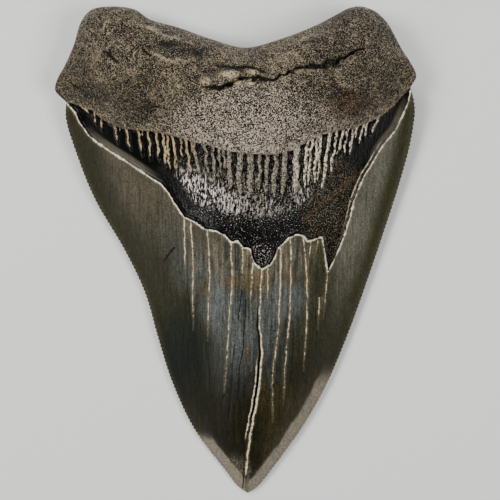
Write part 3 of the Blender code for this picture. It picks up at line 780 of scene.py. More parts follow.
def face_data(rim, loose, face):
    """One face's points with their heights and marks, its triangles and the rim's places."""
    points, triangles, rim_at = triangulate(rim, loose)
    middles = chord_middles(points, triangles, rim_at)
    while middles:
        loose = np.vstack([loose, middles])
        points, triangles, rim_at = triangulate(rim, loose)
        middles = chord_middles(points, triangles, rim_at)
    placed = pulled_to_rim(points)
    height, marks = face(placed)
    height[rim_at] = edge_height(rim)
    return placed, height, marks, triangles, rim_at


def join_faces(rim, inner, outer):
    """One closed mesh from both faces, which share the rim's points."""
    corners, triangles, sides, marks = [], [], [], {}
    rim_count = len(rim)
    for side, (points, height, own_marks, faces, rim_at) in enumerate((inner, outer)):
        start = rim_count if side == 0 else len(corners)
        if side == 0:
            corners += [(*points[at], height[at]) for at in rim_at]
            marks = {name: list(values[rim_at]) for name, values in own_marks.items()}
        number = {at: place for place, at in enumerate(rim_at)}
        for at in range(len(points)):
            if at not in number:
                number[at] = start
                start += 1
                corners.append((*points[at], height[at]))
                for name, values in own_marks.items():
                    marks[name].append(values[at])
        for face in faces:
            turned = [number[at] for at in face]
            triangles.append(turned if side == 0 else turned[::-1])
            sides.append(side)
    return corners, triangles, sides, marks


MAP_WIDTH = 102 * MM
MAP_LENGTH = 144 * MM
MAP_MARGIN = 0.01


def unfold(mesh, sides):
    """A map of both faces laid side by side, seen from straight above and below."""
    layer = mesh.uv_layers.new(name="OFBake")
    width, length = MAP_WIDTH, MAP_LENGTH
    scale = (1 - 2 * MAP_MARGIN) / (2 * width)
    flat = np.zeros((len(mesh.loops), 2))
    places = np.zeros(len(mesh.vertices) * 3)
    mesh.vertices.foreach_get("co", places)
    places = places.reshape(-1, 3)
    at = np.zeros(len(mesh.loops), dtype=int)
    mesh.loops.foreach_get("vertex_index", at)
    side = np.repeat(sides, 3)
    flat[:, 0] = (places[at, 0] + width / 2 + side * width) * scale + MAP_MARGIN
    flat[:, 1] = (places[at, 1] + length / 2) * scale + MAP_MARGIN
    layer.data.foreach_set("uv", flat.ravel())


def make_tooth():
    """The finely pointed tooth, before its surface is weathered."""
    rim = outline_points()
    inner_loose = face_points(
        rim,
        rim_rows(mm(0.4, 0.8, 1.25, 1.7, 2.2, 2.8, 3.4, 4.1), 0.42 * MM, mm(0.35, 0.8, 1.35), 0.42 * MM)
        + inner_rows(),
        [(BAND_GAP, on_band), (BONE_GAP, on_bone(ROOT_LINE_CURVE)), (ENAMEL_GAP, anywhere)],
    )
    outer_loose = face_points(
        rim,
        rim_rows(mm(0.5, 1.05, 1.7, 2.5, 3.4), 0.5 * MM, mm(0.35, 0.9, 1.6), 0.5 * MM) + outer_rows(),
        [(OUTER_BONE_GAP, on_bone(OUTER_LINE_CURVE)), (OUTER_ENAMEL_GAP, anywhere)],
    )
    inner = face_data(rim, inner_loose, inner_face)
    outer = face_data(rim, outer_loose, outer_face)
    corners, triangles, sides, marks = join_faces(rim, inner, outer)
    mesh = bpy.data.meshes.new("fossil_tooth")
    mesh.from_pydata(corners, [], triangles)
    for name, values in marks.items():
        mark = mesh.attributes.new(name, "FLOAT", "POINT")
        mark.data.foreach_set("value", np.array(values) / MM)
    mesh.shade_smooth()
    unfold(mesh, sides)
    tooth = bpy.data.objects.new("fossil_tooth", mesh)
    bpy.context.scene.collection.objects.link(tooth)
    return tooth


# ================================================================ node graphs


class Graph:
    """Short ways to add nodes to a tree; every helper returns an output socket."""

    def __init__(self, tree):
        self.tree = tree

    def node(self, kind, settings=(), inputs=()):
        made = self.tree.nodes.new(kind)
        for name, value in dict(settings).items():
            setattr(made, name, value)
        for name, value in dict(inputs).items():
            self.feed(made, name, value)
        return made

    def feed(self, made, name, value):
        """Link a socket to a node's input, or set a plain value on it."""
        if isinstance(value, bpy.types.NodeSocket):
            self.tree.links.new(value, made.inputs[name])
        else:
            made.inputs[name].default_value = value

    def vector(self, operation, inputs, out=0):
        return self.node("ShaderNodeVectorMath", {"operation": operation}, inputs).outputs[out]

    def mix(self, settings, sockets, values):
        made = self.node("ShaderNodeMix", settings)
        for number, value in zip(sockets, values):
            self.feed(made, number, value)
        return made

    def math(self, operation, a, b=0.0, c=0.0):
        return self.node("ShaderNodeMath", {"operation": operation}, {0: a, 1: b, 2: c}).outputs[0]

    def chain(self, operation, values):
        """One operation taken over all the values, from the left."""
        return functools.reduce(lambda a, b: self.math(operation, a, b), values)

    def times(self, *values):
        return self.chain("MULTIPLY", values)

    def plus(self, *values):
        return self.chain("ADD", values)

    def most(self, *values):
        return self.chain("MAXIMUM", values)

    def least(self, *values):
        return self.chain("MINIMUM", values)

    def minus(self, a, b):
        return self.math("SUBTRACT", a, b)

    def rest(self, share):
        """What a share leaves of 1."""
        return self.minus(1.0, share)

    def centred(self, value):
        """A value of 0 to 1 moved to run from -0.5 to 0.5."""
        return self.minus(value, 0.5)

    def size(self, value):
        return self.math("ABSOLUTE", value)

    def span(self, value, low, high, to_low=0.0, to_high=1.0, smooth=True):
        kind = "SMOOTHSTEP" if smooth else "LINEAR"
        inputs = {0: value, 1: low, 2: high, 3: to_low, 4: to_high}
        return self.node("ShaderNodeMapRange", {"interpolation_type": kind}, inputs).outputs[0]

    def scaled(self, place, x, y, z):
        return self.vector("MULTIPLY", {0: place, 1: (x, y, z)})

    def noise(self, place, scale, detail=2.0, rough_share=0.5, distortion=0.0):
        inputs = {"Vector": place, "Scale": scale, "Detail": detail}
        inputs |= {"Roughness": rough_share, "Distortion": distortion}
        return self.node("ShaderNodeTexNoise", {}, inputs).outputs[0]

    def oval(self, place, x, y, reach_x, reach_y, soft=1.0):
        """1 in the middle of an oval patch of the surface, 0 from its edge on."""
        turned = {0: place, 1: (1 / reach_x, 1 / reach_y, 0), 2: (-x / reach_x, -y / reach_y, 0)}
        out = self.vector("MULTIPLY_ADD", turned)
        return self.span(self.dot(out, out), 1.0, 1.0 - soft)

    def dot(self, a, b):
        return self.vector("DOT_PRODUCT", {0: a, 1: b}, "Value")

    def ovals(self, place, table):
        """The strongest of several oval patches, each with its own strength."""
        return self.most(*[
            self.times(self.oval(place, x, y, reach_x, reach_y), strength)
            for x, y, reach_x, reach_y, strength in table
        ])

    def blend(self, share, a, b, kind="MIX"):
        settings = {"data_type": "RGBA", "blend_type": kind}
        return self.mix(settings, (0, 6, 7), (share, a, b)).outputs[2]

    def shaded(self, colour, share):
        """A colour, or another vector, scaled by one factor."""
        return self.vector("SCALE", {0: colour, "Scale": share})

    def tinted(self, share, colour, value):
        """A colour multiplied by one grey value, as far as the share says."""
        grey = self.node("ShaderNodeCombineColor", {}, {0: value, 1: value, 2: value}).outputs[0]
        return self.blend(share, colour, grey, "MULTIPLY")

    def lerp(self, share, a, b):
        return self.mix({"data_type": "FLOAT"}, (0, 2, 3), (share, a, b)).outputs[0]


# ================================================================ weathering the surface


def granules(g, place, streaky):
    """Worm-like grain of the bone, 0 in the pores and 1 on the granules, drawn out downwards
    where it is streaky. The surface's relief and its colour both follow it."""
    even = g.noise(place, 1.7, 1.0, 0.5, 0.6)
    drawn = g.noise(g.scaled(place, 1.0, 0.35, 0.35), 1.9, 1.0, 0.5, 0.3)
    winding = g.size(g.centred(g.lerp(streaky, even, drawn)))
    worms = g.span(winding, 0.115, 0.0)
    speck = g.span(g.noise(place, 3.4, 2.0, 0.6), 0.32, 0.68, 0.0, 1.0, False)
    return g.plus(g.times(worms, 0.42), g.times(speck, 0.58))


def striae(g, place):
    """Fine upright lines of the bare band, 0 to 1."""
    return g.noise(g.scaled(place, 1.0, 0.26, 0.26), 1.8, 2.0, 0.6, 0.2)


def left_gaps(g, place):
    """The smooth black gaps between the fingers of the band's left half, 0 to 1."""
    return g.oval(place, -33, 37.5, 24, 13.5, 0.5)


def specked_zone(g, place, enamel):
    """The part of the band that carries fingers and striae; towards the enamel it is black."""
    zone = g.times(g.oval(place, 6, 33, 24, 19.5, 0.25), g.span(enamel, -3.2, -5.6))
    return g.times(zone, g.rest(left_gaps(g, place)))


WEATHERING = {
    "Grain Depth": 0.38 * MM,
    "Pebble Depth": 0.95 * MM,
    "Stria Depth": 0.4 * MM,
    "Dent Depth": 0.05 * MM,
}


def weathering_tree(material):
    """A node tree that gives the bone its grain and the band its fine striae."""
    tree = bpy.data.node_groups.new("weathered surface", "GeometryNodeTree")
    tree.is_modifier = True
    face = tree.interface
    face.new_socket("Geometry", in_out="INPUT", socket_type="NodeSocketGeometry")
    for name, value in WEATHERING.items():
        socket = face.new_socket(name, in_out="INPUT", socket_type="NodeSocketFloat")
        socket.default_value = value
    face.new_socket("Geometry", in_out="OUTPUT", socket_type="NodeSocketGeometry")
    g = Graph(tree)
    given = g.node("NodeGroupInput").outputs
    place = g.scaled(g.node("GeometryNodeInputPosition").outputs[0], 1 / MM, 1 / MM, 1 / MM)
    normal = g.node("GeometryNodeInputNormal").outputs[0]

    def mark(name):
        return g.node(
            "GeometryNodeInputNamedAttribute", {"data_type": "FLOAT"}, {"Name": name}
        ).outputs[0]

    on_root = g.span(mark("bone"), 0.0, 0.4)
    off_enamel = g.span(mark("enamel"), 0.0, -0.5)
    bony = g.most(on_root, g.times(g.span(mark("ridge"), 0.15, 0.6), 0.6))
    bony = g.times(bony, g.rest(mark("torn")))
    grain = g.centred(granules(g, place, g.span(mark("bone"), 3.0, 0.5)))
    grain_lift = g.times(grain, given["Grain Depth"], bony)
    pebbles = g.centred(g.noise(place, 0.38, 2.5, 0.6))
    grain_lift = g.plus(grain_lift, g.times(pebbles, given["Pebble Depth"], on_root))

    bare = g.times(off_enamel, g.rest(on_root), mark("inner"))
    bare = g.times(bare, g.rest(smooth_strip(g, place, mark("enamel"))))
    lines = g.centred(striae(g, place))
    stria_lift = g.times(lines, given["Stria Depth"], bare)
    stria_lift = g.times(stria_lift, g.span(left_gaps(g, place), 0.0, 1.0, 1.0, 0.08))
    stria_lift = g.times(stria_lift, g.span(specked_zone(g, place, mark("enamel")), 0.0, 1.0, 0.35, 1.0))

    dents = g.span(g.noise(place, 0.6, 2.0, 0.5), 0.3, 0.2)
    dent_drop = g.times(dents, given["Dent Depth"], g.rest(off_enamel))

    lift = g.minus(g.plus(grain_lift, stria_lift), dent_drop)
    lift = g.times(lift, g.span(mark("rim"), 0.0, 1.0))
    offset = g.shaded(normal, lift)
    moved = g.node("GeometryNodeSetPosition", {}, {"Geometry": given["Geometry"], "Offset": offset})
    whole = g.node("GeometryNodeRealizeInstances", {}, {"Geometry": moved.outputs[0]})
    dressed = g.node(
        "GeometryNodeSetMaterial", {}, {"Geometry": whole.outputs[0], "Material": material}
    )
    out = g.node("NodeGroupOutput")
    tree.links.new(dressed.outputs[0], out.inputs[0])
    return tree


def weathered(tooth, material):
    """Run the weathering tree on the tooth and keep its plain mesh."""
    modifier = tooth.modifiers.new("weathering", "NODES")
    modifier.node_group = weathering_tree(material)
    seen = bpy.context.evaluated_depsgraph_get()
    mesh = bpy.data.meshes.new_from_object(tooth.evaluated_get(seen), depsgraph=seen)
    tooth.modifiers.remove(modifier)
    tooth.data = mesh
    keep_off_ground(mesh)
    mesh.shade_smooth()


def keep_off_ground(mesh):
    """The outer face lies on its surface, so no grain of it goes lower."""
    places = np.zeros(len(mesh.vertices) * 3)
    mesh.vertices.foreach_get("co", places)
    places[2::3] = np.maximum(places[2::3], 0)
    mesh.vertices.foreach_set("co", places)
    mesh.update()


# ================================================================ finishes

CREAM = (0.88, 0.79, 0.62, 1)
CRACK_CREAM = (0.8, 0.69, 0.48, 1)
TAN = (0.3, 0.27, 0.16, 1)
BLACK = (0.0035, 0.0035, 0.003, 1)
SPECULAR_LEVEL = 0.2
BUMP_STRENGTH = 0.8
BUMP_DISTANCE = 0.3 * MM
# The root's colours. Where a name has two, noise blends from the first to the second.
PORE = (0.0015, 0.0012, 0.0008, 1)
ROOT_BROWN = ((0.05, 0.0385, 0.021, 1), (0.1, 0.078, 0.048, 1))
MIDDLE_BROWN = (0.09, 0.07, 0.051, 1)
RUSTY_BROWN = (0.05, 0.022, 0.008, 1)
GRANULES = ((0.38, 0.3, 0.175, 1), (0.6, 0.49, 0.32, 1))
# The middle's own pale granules, lightened further by a painted highlight.
MIDDLE_GRANULE_AND_HIGHLIGHT = (0.95, 0.8, 0.62, 1)
OLIVE_GRANULE = (0.15, 0.115, 0.05, 1)
RUSTY_GRANULE = (0.16, 0.07, 0.02, 1)
# Painted highlight: tiny glints of the root.
ROOT_GLINT = (1.0, 0.88, 0.75, 1)
# Painted highlight along the frayed rim of the bone.
FRAYED_RIM_HIGHLIGHT = ((0.5, 0.4, 0.25, 1), (0.85, 0.75, 0.6, 1))
CREST_TAN = (0.56, 0.46, 0.33, 1)
# Painted shade in the root's furrows.
FURROW_SHADE = (0.012, 0.01, 0.007, 1)
ROOT_HAIRLINE = (0.003, 0.0025, 0.002, 1)
SPLIT_DEBRIS = (0.09, 0.085, 0.055, 1)
CRUMB_CREAM = (0.88, 0.72, 0.46, 1)
# The band's colours.
STRIA_GREY = ((0.05, 0.042, 0.03, 1), (0.4, 0.345, 0.26, 1))
# Painted highlight: the band's silvery glints.
BAND_GLINT = (1.0, 0.9, 0.84, 1)
BAND_CRUMB = (0.5, 0.46, 0.42, 1)
BAND_RUST = ((0.002, 0.0016, 0.001, 1), (0.23, 0.185, 0.11, 1))
BAND_STAIN = (0.14, 0.085, 0.035, 1)
STRIP_GREY = ((0.035, 0.034, 0.026, 1), (0.16, 0.14, 0.1, 1))
LEFT_FINGERS = ((0.13, 0.092, 0.042, 1), (0.56, 0.43, 0.25, 1))
MIDDLE_FINGERS = ((0.022, 0.019, 0.013, 1), (0.37, 0.325, 0.245, 1))
RIGHT_FINGERS = ((0.06, 0.046, 0.028, 1), (0.85, 0.75, 0.57, 1))
# The enamel's colours.
ENAMEL_OLIVE = ((0.026, 0.026, 0.01, 1), (0.05, 0.047, 0.02, 1))
# Painted sheen of the left flank.
LEFT_FLANK_SHEEN = (0.12, 0.104, 0.066, 1)
# Painted sheen of the right flank.
RIGHT_SHEEN = (0.15, 0.14, 0.1, 1)
ENAMEL_BLUE = ((0.033, 0.037, 0.031, 1), (0.085, 0.092, 0.08, 1))
STEEL = (0.165, 0.18, 0.17, 1)
UPPER_BROWN = (0.19, 0.15, 0.09, 1)
TEAL = (0.012, 0.019, 0.0135, 1)
LOW_OLIVE = ((0.013, 0.0115, 0.0045, 1), (0.042, 0.036, 0.015, 1))
LOW_RIGHT = (0.07, 0.058, 0.02, 1)
RUST = (0.11, 0.066, 0.018, 1)
EDGE_OLIVE = (0.1, 0.092, 0.045, 1)
# Painted sheen of the bevels near the tip.
BEVEL_SHEEN = (0.22, 0.19, 0.14, 1)
ENAMEL_SPECK = (0.008, 0.007, 0.005, 1)
ENAMEL_HAIRLINE = (0.005, 0.004, 0.003, 1)
# Painted shade in the serrations' notches.
NOTCH_SHADE = (0.01, 0.009, 0.006, 1)
HALO_TAN = (0.2, 0.16, 0.095, 1)
BEAD_GAP = (0.02, 0.015, 0.01, 1)
# The direction across the slanting rusty stain of the band, which passes through the origin.
BAND_STAIN_ACROSS = (-0.604, 0.797, 0)


def smooth_strip(g, place, enamel):
    """The smooth grey strip of the band beside the enamel of both flanks, 0 to 1."""
    left, right = g.oval(place, -29, 33, 14, 12), g.oval(place, 42, 37, 10, 12)
    return g.times(g.span(enamel, -2.3, -1.2), g.most(left, right))


# Painted shade in the root's hollows, in millimetres: middle, reaches and strength.
HOLLOW_SHADE_PATCHES = (
    (-36, 46.5, 7, 4.5, 1), (-22.6, 42.2, 7, 4, 0.9), (-29.6, 43.4, 6, 3.5, 0.8), (22, 48, 8, 4.5, 1),
    (17, 44.5, 5, 4, 0.7), (26.8, 52.8, 5, 3.5, 0.6), (-26.9, 62.6, 6, 3, 0.5), (-14, 58.3, 9, 3, 1),
    (31, 52, 7, 4, 0.7), (38, 49, 7, 4, 0.8), (31, 64, 16, 9, 0.6),
)
# Cream crumbs in and beside the root's split.
CREAM_CRUMBS = (
    (-1.2, 51.7, 3.2, 1.2, 0.8), (0.7, 49.7, 1.4, 0.8, 1), (4.6, 52.2, 2, 1, 0.8), (-7.4, 50, 2, 1.5, 0.5),
    (4.2, 49.4, 0.9, 0.6, 1), (3.2, 51.4, 1.6, 0.4, 0.8), (17.5, 52.6, 4, 0.7, 0.5),
)


def bone_finish(g, place, marks):
    """The root: near-black pores between tan granules, with olive and rusty stains, painted shade in its
    hollows and furrows, and painted highlights in its middle and along its frayed rim.
    """
    grain = granules(g, place, g.span(marks["bone"], 3.0, 0.5))
    fine = g.noise(place, 3.8, 2.0, 0.7)
    cloud = g.noise(place, 0.13, 3.0, 0.65)
    patch = g.noise(place, 0.45, 3.0, 0.6)
    # The root's lighter, pinker middle: partly its own tone, partly a painted highlight on its bulge.
    middle = g.oval(place, 4.7, 38, 27, 15)
    # Painted shade of the root's hollows.
    dark = g.ovals(place, HOLLOW_SHADE_PATCHES)
    # The level drops in the hollows and the furrows, as painted shade, and rises on the crests.
    level = g.plus(
        g.times(g.centred(grain), 1.15), g.times(g.centred(fine), 1.9), 0.32, g.times(g.centred(cloud), 0.45),
        g.times(g.centred(patch), g.span(middle, 0.0, 1.0, 0.7, 0.4)), g.times(middle, 0.06),
        g.times(dark, -0.1), g.times(marks["furrow"], -0.22),
    )
    olive = g.most(g.oval(place, -44, 54, 13, 14), g.oval(place, -26, 47, 14, 7))
    rusty = g.times(g.oval(place, 30, 44.5, 9, 4.5), 0.9)
    brown = g.blend(cloud, *ROOT_BROWN)
    brown = g.blend(g.times(middle, 0.85), brown, MIDDLE_BROWN)
    granule = g.blend(cloud, *GRANULES)
    granule = g.blend(g.times(middle, 0.85), granule, MIDDLE_GRANULE_AND_HIGHLIGHT)
    granule = g.blend(g.times(olive, 0.6), granule, OLIVE_GRANULE)
    granule = g.blend(rusty, granule, RUSTY_GRANULE)
    brown = g.blend(g.times(rusty, 0.6), brown, RUSTY_BROWN)
    colour = g.blend(g.span(level, 0.22, 0.4), PORE, brown)
    colour = g.blend(g.span(level, 0.38, 0.66), colour, granule)
    # Painted shade: the hollows are darkened further.
    colour = g.blend(g.times(dark, 0.35), colour, g.shaded(colour, 0.4))
    # Painted highlights: tiny near-white glints, most of them in the middle.
    glints = g.times(g.span(g.noise(place, 2.9, 1.0, 0.5), 0.61, 0.7), g.span(middle, 0.0, 0.8, 0.3, 0.8))
    colour = g.blend(glints, colour, ROOT_GLINT)
    # Painted highlight along the frayed rim of the bone above the band.
    frayed_highlight = g.times(g.span(marks["bone"], 0.9, 0.25), g.span(fine, 0.46, 0.58))
    rim_highlight_colour = g.blend(middle, *FRAYED_RIM_HIGHLIGHT)
    colour = g.blend(g.times(frayed_highlight, 0.6), colour, rim_highlight_colour)
    crest = g.times(g.span(marks["furrow"], -0.2, -0.6), g.span(fine, 0.36, 0.56))
    colour = g.blend(g.times(crest, 0.8), colour, CREST_TAN)
    # Painted shade in the bottoms of the furrows.
    colour = g.blend(g.times(g.span(marks["furrow"], 0.35, 0.9), 0.6), colour, FURROW_SHADE)
    hairline = g.span(g.plus(marks["hair"], g.times(g.centred(fine), 0.3)), 0.5, 0.2)
    colour = g.blend(g.times(hairline, 0.95), colour, ROOT_HAIRLINE)
    return colour, g.span(level, 0.3, 0.65, 0.6, 0.3), g.plus(g.times(grain, 1.6), g.times(fine, 1.4))


# Painted highlights: silvery glints on the band's striae, in millimetres: middle, reaches and strength.
GLINTS = (
    (-11.5, 24, 6, 4.5, 0.9), (-7, 20.8, 7, 4.5, 1), (-1, 18.6, 7, 4, 0.7), (6, 17.4, 8, 3.5, 0.3),
    (17.2, 20, 2.4, 3, 0.5), (19.8, 21.4, 2, 3, 0.6), (22.2, 23.4, 2, 3.4, 0.6),
)


def band_finish(g, place, marks, parts):
    """The bare band: glossy black, specked along its striae, with pale fingers of bone and painted silvery
    glints.
    """
    lines = striae(g, place)
    speck = g.noise(g.scaled(place, 1.0, 0.5, 0.5), 2.3, 2.0, 0.65)
    dots = g.noise(place, 3.3, 1.0, 0.6)
    zone = specked_zone(g, place, marks["enamel"])
    below_fingers = g.times(zone, g.span(marks["bone"], -3.0, -9.0, 0.12, 1.0))
    gleam = g.noise(g.scaled(place, 1.0, 0.24, 0.24), 3.2, 2.0, 0.65)
    lines_share = g.span(g.plus(g.times(lines, 0.55), g.times(speck, 0.45)), 0.5, 0.6)
    grey = g.blend(g.span(dots, 0.4, 0.6), *STRIA_GREY)
    colour = g.blend(g.times(lines_share, below_fingers), BLACK, grey)
    # Painted highlights: silvery strokes where the glint patches lie.
    glint_share = g.span(g.plus(g.times(gleam, 0.65), g.times(lines, 0.35)), 0.52, 0.575)
    glint_zone = g.times(g.ovals(place, GLINTS), g.span(marks["enamel"], -3.6, -5.2))
    colour = g.blend(g.times(glint_share, glint_zone), colour, BAND_GLINT)
    scattered = g.times(g.oval(place, 3, 17, 18, 6, 0.9), 0.5)
    crumbs = g.most(g.oval(place, 6.8, 4, 4.4, 4.2, 0.5), scattered)
    crumbs = g.plus(dots, g.times(crumbs, 0.08))
    crumbs = g.times(g.span(crumbs, 0.67, 0.72), g.span(marks["enamel"], -0.3, -1.0))
    crumbs = g.times(crumbs, g.times(g.span(parts["x"], -16.0, -8.0), g.span(parts["x"], 24.0, 18.0)))
    colour = g.blend(crumbs, colour, BAND_CRUMB)
    rusty = g.oval(place, 27, 15, 10, 17, 0.6)
    mottle = g.blend(g.span(dots, 0.55, 0.65), *BAND_RUST)
    colour = g.blend(g.times(rusty, 0.85), colour, mottle)
    across = g.dot(place, BAND_STAIN_ACROSS)
    stain = g.size(g.plus(across, g.times(g.centred(lines), 4.0)))
    on_right = g.times(g.span(parts["x"], 16.0, 19.0), g.span(dots, 0.4, 0.6))
    stain = g.times(g.span(stain, 0.8, 0.2), on_right)
    colour = g.blend(g.times(stain, 0.7), colour, BAND_STAIN)
    strip = smooth_strip(g, place, marks["enamel"])
    colour = g.blend(strip, colour, g.blend(lines, *STRIP_GREY))

    ridge = g.plus(marks["ridge"], g.times(g.centred(speck), 1.1))
    share = g.span(ridge, 0.56, 0.74)
    golden = g.blend(g.span(speck, 0.34, 0.6), *LEFT_FINGERS)
    crumbly = g.plus(g.times(speck, 0.45), g.times(dots, 0.55))
    dusty = g.blend(g.span(crumbly, 0.45, 0.56), *MIDDLE_FINGERS)
    creamy = g.blend(g.span(speck, 0.4, 0.6), *RIGHT_FINGERS)
    bone = g.blend(g.span(parts["x"], -14.0, -8.0), golden, dusty)
    bone = g.blend(g.span(parts["x"], 13.0, 18.0), bone, creamy)
    colour = g.blend(share, colour, bone)
    gloss = g.lerp(zone, 0.26, 0.16)
    gloss = g.lerp(g.most(strip, left_gaps(g, place)), gloss, g.lerp(strip, 0.16, 0.33))
    bumps = g.plus(g.times(lines, 0.6), g.times(speck, 0.6))
    bumps = g.times(bumps, g.span(left_gaps(g, place), 0.0, 1.0, 1.0, 0.12))
    bumps = g.times(bumps, g.span(marks["enamel"], -1.0, -5.0, 0.3, 1.0))
    return colour, g.lerp(share, gloss, 0.4), bumps


# Rust-coloured stains of the enamel beside its cracks, in millimetres: middle and reaches.
RUST_STAINS = (
    (-8.5, -5.6, 2.6, 3.2), (-1, -3.7, 3.4, 3), (4.6, -3.4, 4, 4.6), (8.5, -3, 2, 4),
    (14.8, -2.6, 3, 3.4), (19.8, -3, 1.6, 6), (2.6, -24, 1, 5), (7.5, -36, 1.2, 8),
)
# Steel-grey patches between the cracks: middle, reaches and strength.
STEEL_PATCHES = (
    (-3.8, -11, 8, 12, 0.55), (13, -8.5, 8, 8, 0.55), (-13, -1, 7, 10, 0.4), (7.6, -16, 6, 12, 0.45),
    (1, -22, 6, 11, 0.45), (-17, 8, 6, 11, 0.25),
)


def enamel_finish(g, place, marks, parts):
    """The enamel: satin, olive on the flanks and blue grey between the cracks, with painted sheen on both
    flanks and on the bevels near the tip.
    """
    streak = g.noise(g.scaled(place, 1.0, 0.05, 0.05), 1.5, 3.0, 0.65)
    dashes = g.noise(g.scaled(place, 1.0, 0.2, 0.2), 2.0, 2.0, 0.6, 0.2)
    hair = g.noise(g.scaled(place, 1.0, 0.03, 0.03), 2.6, 2.0, 0.5)
    cloud = g.noise(place, 0.09, 3.0, 0.6)
    fine = g.noise(place, 1.6, 2.0, 0.6)
    wavy_rim = g.plus(marks["rim"], g.times(g.centred(cloud), 3.0))
    colour = g.blend(cloud, *ENAMEL_OLIVE)
    inward = g.span(wavy_rim, 4.5, 11.0)
    # Painted sheen: the left flank's inner part is lighter and browner, more so towards the root.
    left_flank_sheen = g.times(inward, g.span(parts["x"], -2.0, -14.0), g.span(parts["y"], -4.0, 22.0))
    colour = g.blend(left_flank_sheen, colour, LEFT_FLANK_SHEEN)
    # Painted sheen along the right flank's inner part.
    sheen = g.times(g.span(wavy_rim, 2.5, 7.0), g.span(parts["x"], 24.0, 30.0),
                    g.span(parts["y"], -24.0, 10.0))
    colour = g.blend(sheen, colour, RIGHT_SHEEN)
    middle = g.most(g.oval(place, 5, -4, 20, 25), g.times(g.oval(place, 4, -26, 15, 24), 0.8))
    blue = g.blend(cloud, *ENAMEL_BLUE)
    colour = g.blend(middle, colour, blue)
    steel = g.times(g.ovals(place, STEEL_PATCHES), g.span(streak, 0.3, 0.6, 0.5, 1.0))
    colour = g.blend(steel, colour, STEEL)
    brown = g.times(g.oval(place, 6, 3, 20, 11), g.span(g.plus(streak, g.times(cloud, 0.3)), 0.5, 0.75))
    colour = g.blend(g.times(brown, 0.8), colour, UPPER_BROWN)
    teal = g.oval(place, -14.5, -26, 10, 19)
    colour = g.blend(g.times(teal, 0.9), colour, TEAL)
    low = g.times(g.span(parts["y"], -28.0, -42.0), g.span(wavy_rim, 1.5, 5.0))
    low_colour = g.blend(cloud, *LOW_OLIVE)
    low_colour = g.blend(g.span(parts["x"], 4.0, 12.0), low_colour, LOW_RIGHT)
    colour = g.blend(low, colour, low_colour)
    for x, y, reach_x, reach_y in RUST_STAINS:
        stain = g.times(g.oval(place, x, y, reach_x, reach_y), g.span(dashes, 0.32, 0.6, 0.1, 1.0))
        colour = g.blend(g.times(stain, 0.7), colour, RUST)
    edge = g.span(g.plus(marks["rim"], g.times(cloud, 1.2)), 2.6, 1.0)
    colour = g.blend(g.times(edge, 0.6), colour, EDGE_OLIVE)
    # Painted sheen on the bevels along both edges near the tip, and on the tip itself.
    right_bevel_sheen = g.times(g.span(parts["x"], 1.0, 4.0), g.span(parts["y"], -28.0, -37.0))
    left_bevel_sheen = g.times(g.span(parts["x"], 4.0, 2.0), g.span(parts["y"], -49.0, -54.0))
    bevel_sheen = g.times(g.most(right_bevel_sheen, left_bevel_sheen), g.span(wavy_rim, 4.6, 3.2))
    tip = g.times(g.oval(place, -0.5, -63, 7, 8, 0.8), g.span(fine, 0.35, 0.6, 0.3, 0.65))
    bevel_sheen = g.most(bevel_sheen, tip)
    colour = g.blend(g.times(bevel_sheen, 0.85), colour, BEVEL_SHEEN)
    shade = g.times(g.span(streak, 0.3, 0.7, 0.6, 1.35, False), g.span(hair, 0.28, 0.38, 0.4, 1.0))
    shade = g.times(shade, g.span(dashes, 0.36, 0.6, 0.7, 1.25))
    flanks = g.rest(g.most(middle, g.times(low, 0.7)))
    shade = g.lerp(g.times(flanks, 0.35), shade, 1.0)
    colour = g.tinted(g.span(wavy_rim, 2.0, 6.0, 0.35, 1.0), colour, shade)
    mottle = g.span(g.noise(place, 3.2, 1.0), 0.3, 0.7, 0.75, 1.25)
    mottle = g.times(g.span(fine, 0.35, 0.65, 0.8, 1.2), mottle)
    colour = g.tinted(1.0, colour, mottle)
    specks = g.span(g.noise(place, 0.8, 1.0, 0.5), 0.25, 0.2)
    colour = g.blend(g.times(specks, 0.8), colour, ENAMEL_SPECK)
    below = g.span(parts["y"], -8.0, -38.0, 0.66, 0.36)
    below = g.times(below, g.span(parts["x"], -16.0, -6.0, 0.8, 1.0))
    colour = g.shaded(colour, g.times(g.most(below, g.times(bevel_sheen, 0.95)), 1.15))
    thin = g.plus(marks["hair"], g.times(g.centred(fine), 0.3))
    thin = g.minus(thin, g.times(g.oval(place, -18.3, 3.4, 5, 5), 0.2))
    hairline = g.span(thin, 0.26, 0.06)
    colour = g.blend(g.times(hairline, 0.9), colour, ENAMEL_HAIRLINE)
    # Painted shade in the serrations' notches.
    colour = g.blend(g.times(marks["notch"], 0.8), colour, NOTCH_SHADE)
    return colour, 0.38, g.plus(g.times(dashes, 0.25), g.times(hair, 0.2))


